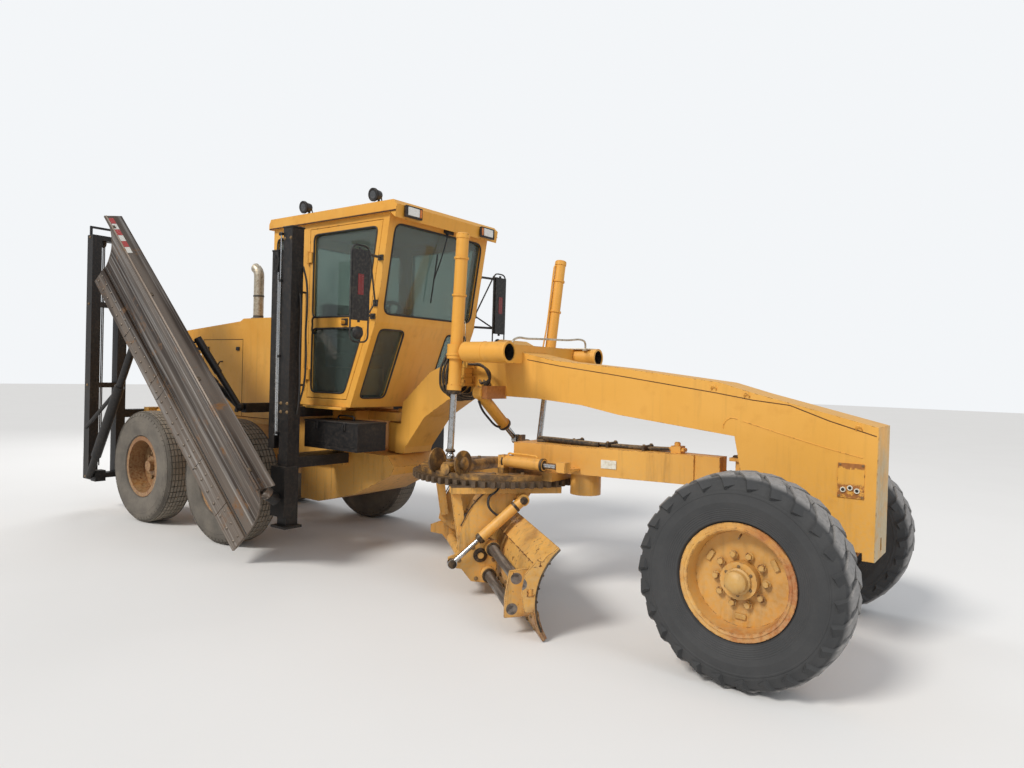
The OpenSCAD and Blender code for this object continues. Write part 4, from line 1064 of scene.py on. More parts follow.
@dataclass
class Nose:
    """Painted seam shadows, hose eyes, weld lines and the port plate of the main frame."""

    half: float = 195.0
    ports: tuple[tuple[float, float], ...] = ((368, 1118), (410, 1132), (452, 1116))

    def build(self) -> None:
        """Builds the fittings of the main frame."""
        # Corners of a thin dark line along each side of the frame: a painted seam shadow.
        seam = [(555, 1474), (270, 1556), (15, 1647), (-240, 1672), (-500, 1712), (-1300, 1818),
                (-1850, 1885), (-2180, 1935)]
        for side in Side:
            y = side.value * self.half
            parts = []
            for (x0, z0), (x1, z1) in zip(seam, seam[1:]):
                strip = block((x1, -1.2, -3.2), (x0, 1.2, 3.2), 0)
                tilt = math.atan2(z0 - z1, x0 - x1)
                strip.matrix_world = (Matrix.Translation(((x0 + x1) / 2000, y / 1000, (z0 + z1) / 2000))
                                      @ Matrix.Rotation(-tilt, 4, "Y")
                                      @ Matrix.Diagonal((math.hypot(x0 - x1, z0 - z1) / (x0 - x1), 1, 1, 1))
                                      @ Matrix.Translation((-(x0 + x1) / 2000, 0, 0)))
                parts.append(strip)
            assemble(f"frame_seam_shadow_{side.word}", parts, Body.FRONT, Coat.seam)
            eyes = [self.eye(x, side.value, z) for x, z in ((-521, 1752), (-280, 1708), (450, 1525))]
            assemble(f"frame_eyes_{side.word}", eyes, Body.FRONT, Coat.cylinder)
        arc = [(-372 + 70 * math.cos(a), -self.half - 1, 1470 + 70 * math.sin(a))
               for a in (math.radians(t) for t in range(65, 186, 20))]
        far = [(-302, -self.half - 1, 1520), (40, -self.half - 1, 1430), (330, -self.half - 1, 1360),
               (480, -self.half - 1, 1330)]
        assemble("nose_weld", [pipe(arc, 4), pipe(far, 2.4)], Body.FRONT, Coat.cylinder)
        rings = [turned([(17, 0), (17, 9), (11, 9), (10, -1)], (x, -self.half - 6, z), (0, -1, 0), 20)
                 for x, z in self.ports]
        assemble("nose_ports", rings, Body.FRONT, Coat.label)
        cups = [turned([(10.5, 0), (10.5, 7), (5, 8)], (x, -self.half - 6, z), (0, -1, 0), 16)
                for x, z in self.ports]
        assemble("nose_port_plugs", cups, Body.FRONT, Coat.hose)
        screws = [((x, -self.half - 6, z), (0, -1, 0)) for z in (1280, 1076) for x in (345, 483)]
        assemble("nose_plate_screws", bolts(screws, 6, 5), Body.FRONT, Coat.bolt)

    def eye(self, x: float, side: int, z: float) -> Piece:
        """A small bent eye that ties the hoses down.

        Args:
            x: Place along the frame.
            side: Sign of Y.
            z: Height of its feet.

        Returns:
            The piece.
        """
        y = side * self.half
        return pipe([(x - 16, y, z - 22), (x - 16, y + side * 14, z), (x, y + side * 17, z + 12),
                     (x + 16, y + side * 14, z), (x + 16, y, z - 22)], 4)


@dataclass
class FrontWheel:
    """Hub cap, nuts and valve of a front wheel."""

    side: Side = Side.LEFT
    track: float = 985.0
    height: float = 635.0

    def build(self) -> None:
        """Builds the wheel's fittings."""
        body = f"wheel_front_{self.side.word}"
        way = (0, self.side.value, 0)
        y = self.side.value * self.track
        cap = turned([(64, 0), (78, 6), (78, 22), (66, 28), (64, 62), (50, 76), (28, 84), (0, 86)],
                     (0, y + self.side.value * 92, self.height), way, 28)
        assemble(f"hub_cap_front_{self.side.word}", [cap], body, Coat.hub_front)
        seats = [((x, y + self.side.value * 52, self.height + z), way) for x, z in around(10, 150)]
        assemble(f"wheel_nuts_front_{self.side.word}", bolts(seats, 19, 20), body, Coat.hub_front, angle=25)
        lock = turned([(300, 108), (300, 131), (304, 138), (316, 140), (322, 134), (345, 136), (345, 132),
                       (318, 132), (318, 108), (300, 108)], (0, y, self.height), way, 64, ring=True)
        assemble(f"lock_ring_front_{self.side.word}", [lock], body, Coat.rim_front)
        boss = block((-34, -16, 0), (34, 16, 12), 3)
        dish = Matrix.Translation((0, (y + self.side.value * 32) / 1000, self.height / 1000))
        outward = Matrix.Translation((0, 0, 0.222)) @ Matrix.Rotation(
            math.radians(-90 * self.side.value), 4, "X")
        lugs = copies(boss, [dish @ Matrix.Rotation(math.radians(a), 4, "Y") @ outward
                             for a in (60, 180, 300)])
        assemble(f"dish_lugs_front_{self.side.word}", lugs, body, Coat.hub_front)
        hub = [((x, y + self.side.value * 94, self.height + z), way) for x, z in around(6, 84, 30)]
        assemble(f"hub_bolts_front_{self.side.word}", bolts(hub, 8, 8), body, Coat.bolt, angle=25)
        stem = rod((0, y + self.side.value * 60, self.height + 268),
                   (0, y + self.side.value * 112, self.height + 250), 6)
        assemble(f"valve_stem_front_{self.side.word}", [stem], body, Coat.bolt)


@dataclass
class TandemWheel:
    """A driven wheel: block tread on the tyre, and nuts and a hub on the rim."""

    side: Side = Side.LEFT
    row: str = "mid"
    x: float = -5315.0
    track: float = 985.0
    height: float = 635.0
    blocks: int = 58

    def build(self) -> None:
        """Builds the tyre with its tread blocks and the wheel's fittings."""
        body = f"wheel_{self.row}_{self.side.word}"
        y = self.side.value * self.track
        rows = [-112, -75, -38, 0, 38, 75, 112]
        tread = [(620 + 3 * math.cos(math.pi * v / 300), v) for v in rows]
        left = [(319, -121), (348, -121), (360, -146), (420, -163), (475, -169), (520, -168), (556, -162),
                (572, -160), (604, -146), (614, -130)]
        right = [(r, -h) for r, h in reversed(left)]
        tyre = turned([*left, *tread, *right, left[0]], (0, 0, 0), (0, 1, 0), self.blocks, ring=True)
        self.raise_blocks(tyre, (0.611, 1.0), (0.0, 0.131), 0.0042, 0.0115)
        self.raise_blocks(tyre, (0.585, 0.61), (0.14, 0.158), 0.005, 0.006)
        free_hands()
        tyre.location = (self.x / 1000, y / 1000, self.height / 1000)
        finish = Coat.tyre_mid if self.row == "mid" else Coat.tyre_rear
        piece = assemble(f"block_tyre_{self.row}_{self.side.word}", [tyre], body, finish, angle=30)
        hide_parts(f"tyre_{self.row}_{self.side.word}")
        way = (0, self.side.value, 0)
        coat = Coat.rim_mid if self.row == "mid" else Coat.rim_rear
        seats = [((self.x + x, y - self.side.value * 18, self.height + z), way)
                 for x, z in around(10, 150)]
        assemble(f"wheel_nuts_{self.row}_{self.side.word}", bolts(seats, 19, 18), body, Coat.bolt, angle=25)
        hub = turned([(96, 0), (96, 16), (84, 24), (60, 26), (0, 28)],
                     (self.x, y - self.side.value * 6, self.height), way, 24)
        assemble(f"hub_cap_{self.row}_{self.side.word}", [hub], body, coat)

    @staticmethod
    def raise_blocks(tyre: Piece, radii: tuple[float, float], sides: tuple[float, float], gap: float,
                     high: float) -> None:
        """Raises the faces of one band of the tyre into blocks, all in metres.

        Args:
            tyre: The tyre, about the origin.
            radii: Least and greatest distance of the faces from the axis.
            sides: Least and greatest distance from the tyre's middle.
            gap: Half the gap between blocks.
            high: Height of the blocks.
        """
        choose(tyre, lambda c: (radii[0] < math.hypot(c.x, c.z) < radii[1]
                                and sides[0] <= abs(c.y) < sides[1]))
        bpy.ops.mesh.inset(thickness=gap, use_individual=True)
        bpy.ops.mesh.extrude_faces_move(TRANSFORM_OT_shrink_fatten={"value": high})


@dataclass
class LiftCylinder:
    """Gland, trunnion bolts and steel pipe of a lift cylinder."""

    side: Side = Side.LEFT
    top: Triple = (-2550.0, 700.0, 1980.0)
    foot: Triple = (-2560.0, 650.0, 1110.0)
    shift: float = -80.0

    def build(self) -> None:
        """Builds the cylinder's fittings."""
        sign = self.side.value
        top = Vector((self.top[0], sign * self.top[1], self.top[2]))
        foot = Vector((self.foot[0], self.shift + sign * self.foot[1], self.foot[2]))
        way = (top - foot).normalized()
        barrel, rod_body = f"lift_barrel_{self.side.word}", f"lift_rod_{self.side.word}"
        gland = turned([(28.4, 0), (56, 0), (60, 5), (60, 26), (50, 30), (50, 44)], foot + way * 518, way, 28)
        assemble(f"lift_gland_{self.side.word}", [gland], barrel, Coat.grease)
        turn = frame_of(way)
        ring = [(foot + way * 592 + turn @ Vector((x, y, 0)), way) for x, y in around(6, 53)]
        cap = turned([(50, 0), (55, 2), (55, 10), (46, 16), (20, 18)], foot + way * 1845, way, 28)
        band = turned([(76.5, 0), (80, 3), (80, 17), (76.5, 20)], foot + way * 834, way, 32)
        assemble(f"lift_cap_{self.side.word}", [cap, band, *bolts(ring, 6, 6, False)], barrel, Coat.cylinder)
        lean = Vector((-0.35, -sign, 0)).normalized()
        line = [foot + way * 640 + lean * 50, foot + way * 655 + lean * 74, foot + way * 700 + lean * 76,
                foot + way * 900 + lean * 92, foot + way * 1200 + lean * 76, foot + way * 1770 + lean * 74,
                foot + way * 1800 + lean * 70, foot + way * 1812 + lean * 50]
        clips = [turned([(54, 0), (62, 2), (62, 18), (54, 20)], foot + way * h, way, 28)
                 for h in (1330, 1640)]
        assemble(f"lift_pipe_{self.side.word}", [pipe(line, 8), *clips], barrel, Coat.cylinder)
        collar = turned([(28, 0), (40, 4), (42, 16), (34, 26), (28, 30)], foot + way * 34, way, 24)
        assemble(f"lift_rod_collar_{self.side.word}", [collar], rod_body, Coat.grease)


@dataclass
class Saddle:
    """Tube mouths with black linings and domes painted as the shade inside them, guard loop, plate and hoses
    of the lift saddle, and the centre-shift cylinder.
    """

    x: float = -2000.0
    y: float = 700.0
    z: float = 1980.0
    tube: float = 83.5

    def build(self) -> None:
        """Builds the fittings of the saddle."""
        for side in Side:
            y = side.value * self.y
            lip = self.tube + 3
            mouth = turned([(68.4, -8), (68.4, 6), (lip, 6), (lip, -16), (self.tube, -18), (68.4, -8)],
                           (self.x, y, self.z), (1, 0, 0), 36, ring=True)
            seam = turned([(78, 0), (lip, 3), (lip, 15), (78, 18), (78, 0)], (self.x - 250, y, self.z),
                          (1, 0, 0), 36, ring=True)
            # A black sleeve inside the tube's mouth: painted shade.
            shade_lining = turned([(68, -136), (68, -2), (66, -2), (66, -136), (68, -136)], (self.x, y, self.z),
                            (1, 0, 0), 36, ring=True)
            assemble(f"saddle_mouth_{side.word}", [mouth, seam], Body.FRONT, Coat.cylinder)
            # A black dome deep in the tube: painted shade.
            ball = turned([(66, 0), (66, 26), (52, 50), (30, 62), (6, 66)], (self.x - 136, y, self.z),
                          (1, 0, 0), 28)
            assemble(f"saddle_tube_shade_{side.word}", [ball, shade_lining], Body.FRONT, Coat.black)
        plate = block((-2330, 620, 2058), (-2060, 780, 2070), 3)
        assemble("saddle_plate", [plate], Body.FRONT, Coat.label)
        loop = pipe([(-2100, -535, 2020), (-2100, -532, 2060), (-2100, -490, 2096), (-2100, -300, 2108),
                     (-2100, 300, 2128), (-2100, 590, 2140), (-2100, 625, 2120), (-2100, 632, 2056)], 9)
        feet = [block((-2116, -560, 2004), (-2084, -506, 2024)),
                block((-2116, 606, 2044), (-2084, 656, 2060))]
        post = rod((-2110, -535, 1990), (-2230, -535, 1990), 14)
        assemble("saddle_guard", [loop, post, *feet], Body.FRONT, Coat.stack)
        self.hoses()
        self.shift_cylinder()

    def hoses(self) -> None:
        """Builds the valve bank's hoses, fittings and wire."""
        lines, nuts = [], []
        for index in range(5):
            x = -2978 + 48 * index
            for row, y in enumerate((-300, -250)):
                out = -360 - 34 * row - 9 * index
                low = 1640 - 16 * row - 11 * ((index * 2) % 5)
                lines.append(pipe([(x, y, 1885), (x, y, 1925), (x + 6, y - 40, 1968 + 10 * row),
                                   (x + 14, out, 1900), (x + 4, out - 26, 1770), (x + 10, out + 10, low + 20),
                                   (x + 60, -280, low - 16), (x + 104, -226, low + 20),
                                   (x + 124, -190, low + 60)], 11))
                nuts.append(((x, y, 1880), (0, 0, 1)))
        for k in range(3):
            lines.append(pipe([(-2700 + 50 * k, -190, 1744), (-2660 + 50 * k, -226, 1722 - 8 * k),
                               (-2590 + 34 * k, -280 - 14 * k, 1724 - 10 * k),
                               (-2510 + 12 * k, -300 - 12 * k, 1752 - 8 * k), (-2500, -300 - 12 * k, 1800),
                               (-2590, -290 - 14 * k, 1866 + 8 * k), (-2700, -270 - 20 * k, 1884),
                               (-2760, -240 - 30 * k, 1884)], 11))
        assemble("valve_hoses", lines, Body.FRONT, Coat.old_hose)
        assemble("valve_fittings", bolts(nuts, 15, 26, False), Body.FRONT, Coat.bolt, angle=25)
        blocks = [block((-3006, -350, 1760), (-2760, -212, 1778), 3),
                  block((-2800, -330, 1850), (-2744, -220, 1902), 4),
                  block((-3010, -338, 1856), (-2964, -222, 1880), 4)]
        assemble("valve_plates", blocks, Body.FRONT, Coat.cylinder)
        wire = pipe([(-2780, -340, 1890), (-2700, -420, 2050), (-2650, -470, 2180), (-2700, -430, 2260),
                     (-2790, -380, 2160), (-2860, -330, 1960)], 3)
        assemble("valve_wire", [wire], Body.FRONT, Coat.stack)

    @staticmethod
    def shift_cylinder() -> None:
        """Builds the centre-shift cylinder's gland and hose."""
        top, eye = Vector((-2510, -430, 1640)), Vector((-2510, 120, 1215))
        way = (eye - top).normalized()
        gland = turned([(57.5, 0), (61, 3), (61, 26), (40, 30), (40, 40), (25.6, 42)],
                       top + way * 452, way, 28)
        assemble("shift_gland", [gland], "shift_barrel", Coat.grease)
        low = Vector((0, way.z, -way.y))
        hose = pipe([top + way * 40 + low * 58, top + way * 120 + low * 86, top + way * 250 + low * 92,
                     top + way * 370 + low * 84, top + way * 430 + low * 60], 10)
        assemble("shift_hose", [hose], "shift_barrel", Coat.hose)


@dataclass
class Drawbar:
    """Hoses, manifold, label and cylinder rods on the drawbar."""

    circle_x: float = -2540.0
    circle_y: float = -80.0
    swivel_x: float = -1635.0
    top: float = 1235.0
    hose_z: float = 1262.0
    arm_z: float = 1080.0

    def build(self) -> None:
        """Builds the fittings of the drawbar."""
        self.hoses()
        self.turn_cylinders()
        label = block((-65, -2.5, -34), (65, 2.5, 34), 1)
        label.matrix_world = Matrix.Translation((-1.36, -0.2005, 1.112)) @ Matrix.Rotation(
            math.radians(6.6), 4, "Z")
        assemble("drawbar_label", [label], Body.DRAWBAR, Coat.label)
        self.studs()

    def hoses(self) -> None:
        """Builds the drawbar's hoses with their clamps, the manifold's ports and the bolts."""
        rows = (-34, -4, 26)
        lines = [pipe([(-905, y, self.hose_z), (-1000, y * 1.3, 1256), (-1400, y * 1.4 - 20, 1250),
                       (-1800, y * 1.6 - 40, 1250), (-1980, y * 2.2 - 50, 1248),
                       (-2080, y * 3 - 50, 1240)], 13) for y in rows]
        lines.append(pipe([(-1500, -120, 1254), (-1700, -150, self.hose_z), (-1900, -150, 1266),
                           (-2090, -110, self.hose_z)], 22))
        assemble("drawbar_hoses", lines, Body.DRAWBAR, Coat.old_hose)
        clamps = [block((x, -120, self.top), (x + 26, 50, self.top + 42), 3) for x in (-1120, -1440, -1760)]
        assemble("drawbar_clamps", clamps, Body.DRAWBAR, Coat.grease)
        nuts = [((x, y, self.top + 42), (0, 0, 1)) for x in (-1107, -1427, -1747) for y in (-100, 30)]
        ring = [((self.circle_x + x, self.circle_y + y, 985), (0, 0, 1)) for x, y in around(16, 612, 11)
                if abs(y) > 290 and abs(x + 20) > 70]
        hub = [((self.swivel_x + x, self.circle_y + y, 1015), (0, 0, 1)) for x, y in around(8, 96, 20)]
        heads = bolts([*nuts, *hub], 11, 9) + bolts(ring, 17, 14)
        assemble("drawbar_bolts", heads, Body.DRAWBAR, Coat.bolt, angle=25)
        cap = turned([(70, 0), (70, 10), (58, 16), (30, 18)], (self.swivel_x, self.circle_y, 1014),
                     (0, 0, 1), 24)
        ports = [rod((-900, y, self.hose_z), (-925, y, self.hose_z), 15, 6) for y in rows]
        more = [rod((-820, y, self.hose_z), (-796, y, self.hose_z), 15, 6) for y in (-40, 0)]
        knob = turned([(24, 0), (24, 22), (16, 30)], (-862, -22, 1290), (0, 0, 1), 16)
        assemble("drawbar_ports", [cap, knob, *ports, *more], Body.DRAWBAR, Coat.gear)

    def turn_cylinders(self) -> None:
        """Builds the rods, glands and pipes of the two cylinders that turn the circle."""
        for side in Side:
            y = self.circle_y + side.value * 345
            sleeve = rod((-1822, y, self.arm_z), (-1684, y, self.arm_z), 24.2, 24)
            assemble(f"turn_rod_{side.word}", [sleeve], Body.DRAWBAR, Coat.chrome)
            rings = [turned(profile, (x, y, self.arm_z), (1, 0, 0), 24) for profile, x in (
                ([(48.2, 0), (54, 3), (54, 24), (30, 27), (24.4, 28)], -1846),
                ([(48.2, 0), (53, 3), (53, 15), (48.2, 18)], -2226),
                ([(24.4, 0), (34, 3), (34, 16), (24.4, 18)], -1702))]
            assemble(f"turn_gland_{side.word}", rings, Body.DRAWBAR, Coat.grease)
            turn_pipe = pipe([(-2180, y, 1128), (-2180, y, 1142), (-2140, y, 1146), (-1930, y, 1146),
                              (-1896, y, 1142), (-1890, y, 1128)], 8)
            assemble(f"turn_pipe_{side.word}", [turn_pipe], Body.DRAWBAR, Coat.cylinder)

    def studs(self) -> None:
        """Builds the caps of the lift studs and of the pin at the ball."""
        for side in Side:
            y = self.circle_y + side.value * 650
            boss = turned([(46, 0), (62, 4), (62, 22), (50, 30), (42, 30)], (-2560, y, 1030), (0, 0, 1), 28)
            hubs = [turned([(52, 0), (52, 16), (40, 24), (18, 26)], (-2560 + x * 149, y, 1066), (x, 0, 0), 24)
                    for x in (-1, 1)]
            assemble(f"stud_caps_{side.word}", [boss, *hubs], Body.DRAWBAR, Coat.drawbar)
        nose_pin = turned([(34, 0), (34, 10), (26, 16), (10, 18)], (-400, 0, 1240), (0, 0, 1), 20)
        assemble("ball_pin_cap", [nose_pin], Body.BALL, Coat.grease)


@dataclass
class Blade:
    """Bolts, pipes and wear strips of the blade and its bracket, drawn in the circle's frame."""

    centre: tuple[float, float] = (408.9, 269.3)
    bow: float = 480.0
    ends: tuple[float, float] = (-1700.0, 1960.0)
    arm: float = 600.0

    def on_bow(self, radius: float, angle: float, y: float, inward: bool) -> tuple[Triple, Triple]:
        """A place on the moldboard's bow.

        Args:
            radius: Distance from the bow's centre.
            angle: Angle about the centre in degrees.
            y: Place along the blade.
            inward: True when the piece points to the bow's centre.

        Returns:
            The place and the way out.
        """
        turn = math.radians(angle)
        way = (math.cos(turn), 0.0, math.sin(turn))
        sign = -1 if inward else 1
        return ((self.centre[0] + radius * way[0], y, self.centre[1] + radius * way[2]),
                tuple(sign * v for v in way))

    def build(self) -> None:
        """Builds the fittings of the blade."""
        self.edge_bolts()
        self.end_strips()
        self.bracket()
        self.tilt_cylinder()
        self.arms()

    def edge_bolts(self) -> None:
        """Builds the bolts of the cutting edge: heads in front and nuts behind."""
        margin, count = 90, 18
        gap = (self.ends[1] - self.ends[0] - 2 * margin) / (count - 1)
        rows = [self.ends[0] + margin + gap * index for index in range(count)]
        edge = (203.5, 193.0)
        front = [self.on_bow(self.bow - 16.5, a, y, True) for y in rows for a in edge]
        heads = turned([(15, 0), (15, 3), (11, 7), (4, 8)], (0, 0, 0), (0, 0, 1), 12)
        spots = [Matrix.Translation(Vector(seat) / 1000) @ frame_of(Vector(way)) for seat, way in front]
        assemble("edge_bolt_heads", copies(heads, spots), Body.MOLDBOARD, Coat.edge_bolt, BLADE)
        back = [self.on_bow(self.bow + 22, a, y, False) for y in rows for a in edge]
        assemble("edge_bolt_nuts", bolts(back, 14, 13), Body.MOLDBOARD, Coat.bolt, BLADE, 25)

    def end_strips(self) -> None:
        """Builds the weld and the bolts along the blade's two ends."""
        bits = []
        for y, out in ((self.ends[0], -1), (self.ends[1], 1)):
            seats = [self.on_bow(self.bow - 4, a, y + out * 0.5, True)[0] for a in range(201, 145, -11)]
            bits += [rod(seat, (seat[0], seat[1] + out * 5, seat[2]), 9, 8) for seat in seats]
        strips = [pipe([self.on_bow(self.bow + 2, a, y, True)[0] for a in range(132, 212, 8)], 7)
                  for y in (self.ends[0] - 1, self.ends[1] + 1)]
        assemble("blade_end_strips", [*strips, *bits], Body.MOLDBOARD, Coat.grease, BLADE)

    @staticmethod
    def bracket() -> None:
        """Builds the bracket's pin caps, its bolts and the seals of its rails."""
        caps = []
        for out in (-1, 1):
            way = (0, out, 0)
            caps.append(turned([(58, 0), (58, 10), (48, 16), (20, 18)], (-270, out * 649, 340), way, 24))
            caps += bolts([((-270 + x, out * 663, 340 + z), way) for x, z in around(6, 38)], 8, 8, False)
        assemble("tilt_pin_caps", caps, Body.BRACKET, Coat.grease, BLADE)
        nuts = [((x, out * 652.5, z), (0, out, 0)) for out in (-1, 1)
                for x, z in ((-330, 400), (-180, 455), (-440, 300), (-300, 150), (-160, 300))]
        assemble("bracket_bolts", bolts(nuts, 13, 12), Body.BRACKET, Coat.bolt, BLADE, 25)
        rings = [turned([(39, 0), (56, 0), (57, 3), (57, 9), (50, 12), (39, 12)], (x, out * 720, z),
                        (0, out, 0), 28) for out in (-1, 1) for x, z in ((-178, 400), (-205, 190))]
        assemble("rail_seals", rings, Body.BRACKET, Coat.grease, BLADE)

    @staticmethod
    def tilt_cylinder() -> None:
        """Builds the tilt cylinder's gland, head band and eye cap."""
        top, eye = Vector((60, -700, 790)), Vector((-505, -700, 290))
        way = (eye - top).normalized()
        gland = turned([(41, 0), (44.5, 3), (44.5, 28), (34, 32), (34, 42), (20.6, 44)],
                       top + way * 442, way, 24)
        head = turned([(42, 0), (47, 3), (47, 22), (42, 25)], top + way * 70, way, 24)
        assemble("tilt_gland", [gland, head], "tilt_barrel", Coat.grease, BLADE)
        cap = turned([(34, 0), (34, 8), (26, 12), (8, 13)], (eye.x, -725, eye.z), (0, -1, 0), 20)
        assemble("tilt_eye_cap", [cap], "tilt_rod", Coat.grease, BLADE)

    def arms(self) -> None:
        """Builds the tilt hoses, and the pin, welds and bolts of the circle's arms."""
        pin = turned([(32, 0), (32, 8), (24, 12), (8, 13)], (60, -733, 790), (0, -1, 0), 20)
        hoses = [pipe([(-120, y, 905), (-150, y - 12, 860), (-215, y - 20, 800), (-190, y - 24, 700),
                       (-60, y - 22, 660), (-10, y - 14, 720)], 9) for y in (-628, -650)]
        assemble("tilt_pipes", hoses, Body.CIRCLE, Coat.hose, BLADE)
        nuts = [((x, out * self.arm, 901), (0, 0, 1)) for out in (-1, 1) for x in (-470, 350)]
        edges = [pipe([(-430, out * 617, 570), (-340, out * 617, 735), (-214, out * 617, 862)], 5)
                 for out in (-1, 1)]
        assemble("arm_edges", [pin, *edges, *bolts(nuts, 14, 12)], Body.CIRCLE, Coat.grease, BLADE)


@dataclass
class Cab:
    """Window rubbers, round corners, wiper, lamps, handles and seat of the cab."""

    half: float = 700.0
    bend: float = 2250.0
    low_slope: float = 0.4
    high_slope: float = 160 / 980

    def front(self, z: float) -> float:
        """X of the cab's front edge at a height: it leans forward less above the bend."""
        return -3530 + (z - self.bend) * (self.low_slope if z < self.bend else self.high_slope)

    @staticmethod
    def facing(slope: float) -> Triple:
        """The way out of a front pane that leans forward with a slope."""
        tilt = math.atan2(slope, 1.0)
        return math.cos(tilt), 0, -math.sin(tilt)

    @staticmethod
    def window(corners: Sequence[Triple], out: Triple,
               reach: float = 62.0) -> tuple[Piece, list[Piece]]:
        """A window's rubber and the panel corners behind it.

        Args:
            corners: Corners of the opening in millimetres.
            out: The way out of the cab, of length one.
            reach: Size of the round corners.

        Returns:
            The rubber and the corner plates.
        """
        bows = eased(corners, reach)
        rubber = drawn([tuple(p) for bow in bows for p in bow], 9)
        normal = Vector(out)
        plates = []
        for corner, bow in zip(corners, bows):
            ahead = (bow[0] - Vector(corner)).normalized()
            across = normal.cross(ahead)
            turn = Matrix((ahead, across, normal)).transposed().to_4x4()
            seat = Vector(corner) - normal * 9
            flat = [turn.to_3x3().inverted() @ (p - Vector(corner)) for p in bow]
            ring = [(-4.0, -4.0 * math.copysign(1, flat[-1].y), 0.0)] + [(p.x, p.y, 0.0) for p in flat]
            plate = drawn(ring, 0, 14)
            plate.matrix_world = Matrix.Translation(seat / 1000) @ turn
            plates.append(plate)
        return rubber, plates

    def build(self) -> None:
        """Builds the fittings of the cab."""
        panes = []
        for side in Side:
            s, y = side.value, side.value * self.half
            self.door(side)
            panes.append(self.window([(-5020, y, 2330), (-4620, y, 2330), (-4620, y, 3130),
                                      (-5020, y, 3130)], (0, s, 0)))
            panes.append(self.window([(self.front(z), s * across, z) for z, across in (
                (1540, 300), (1540, 620), (2190, 620), (2190, 300))], self.facing(self.low_slope)))
            rail = pipe([(-4545, y, 1640), (-4545, y + s * 52, 1650), (-4545, y + s * 56, 1700),
                         (-4545, y + s * 56, 2500), (-4545, y + s * 52, 2550), (-4545, y, 2560)], 11)
            assemble(f"grab_rail_{side.word}", [rail], Body.REAR, Coat.black)
            self.mirror(side)
        panes.append(self.window([(self.front(z), y, z) for z, y in (
            (2330, -620), (2330, 620), (3150, 620), (3150, -620))], self.facing(self.high_slope), 90))
        panes.append(self.window([(-5080, -560, 2100), (-5080, 560, 2100), (-5080, 560, 3130),
                                  (-5080, -560, 3130)], (-1, 0, 0), 80))
        assemble("cab_rubbers", [rubber for rubber, _ in panes], Body.REAR, Coat.hose)
        assemble("cab_corners", [plate for _, corners in panes for plate in corners], Body.REAR, Coat.body)
        self.roof()
        self.wiper()
        self.seat()

    def door(self, side: Side) -> None:
        """Builds a door's window rubbers, grip and lock.

        Args:
            side: The door's side.
        """
        s, y = side.value, side.value * self.half
        body = f"door_{side.word}"
        panes = [self.window([(-4430, y, low), (self.front(low) - 140, y, low),
                              (self.front(high) - 140, y, high), (-4430, y, high)], (0, s, 0))
                 for low, high in ((1580, 2200), (2310, 3120))]
        assemble(f"door_rubber_{side.word}", [rubber for rubber, _ in panes], body, Coat.hose)
        plates = [plate for _, corners in panes for plate in corners]
        assemble(f"door_corners_{side.word}", plates, body, Coat.body)
        grip = pipe([(-4380, y, 2150), (-4380, y + s * 34, 2165), (-4380, y + s * 38, 2240),
                     (-4380, y + s * 34, 2300), (-4380, y, 2315)], 9)
        lock = slab(y, s * 12, (-3990, -3905), (2225, 2290), 3)
        assemble(f"door_grip_{side.word}", [grip, lock], body, Coat.black)

    def mirror(self, side: Side) -> None:
        """Builds a mirror's glass, loop and small round mirror.

        Args:
            side: The mirror's side.
        """
        s = side.value
        glass = slab(s * 922, s * 156, (-3446, -3439), (2254, 2836))
        round_glass = turned([(48, 0), (46, 3), (30, 6), (4, 7)], (-3437, s * 1000, 2130), (-1, 0, 0), 24)
        assemble(f"mirror_glass_{side.word}", [glass, round_glass], Body.REAR, Coat.chrome)
        shell = turned([(55, -4), (58, 8), (50, 24), (22, 34), (4, 36)], (-3436, s * 1000, 2130),
                       (1, 0, 0), 24)
        bow = [tuple(p) for b in eased([(-3420, s * 890, 2050), (-3420, s * 1095, 2050),
                                        (-3420, s * 1095, 2890), (-3420, s * 890, 2890)], 70) for p in b]
        stays = [rod((self.front(2450) - 30, s * 712, 2420), (-3422, s * 892, 2860), 8),
                 rod((self.front(2420) - 30, s * 712, 2420), (-3422, s * 890, 2300), 8)]
        foot = slab(s * 700.5, s * 15.5, (self.front(2450) - 60, self.front(2450) - 5), (2390, 2450))
        assemble(f"mirror_loop_{side.word}", [drawn(bow, 8), shell, foot, *stays], Body.REAR, Coat.mirror)
        mark = slab(s * 965, s * 65, (-3405, -3402), (2460, 2640), 1)
        assemble(f"mirror_reflector_{side.word}", [mark], Body.REAR, Coat.red)

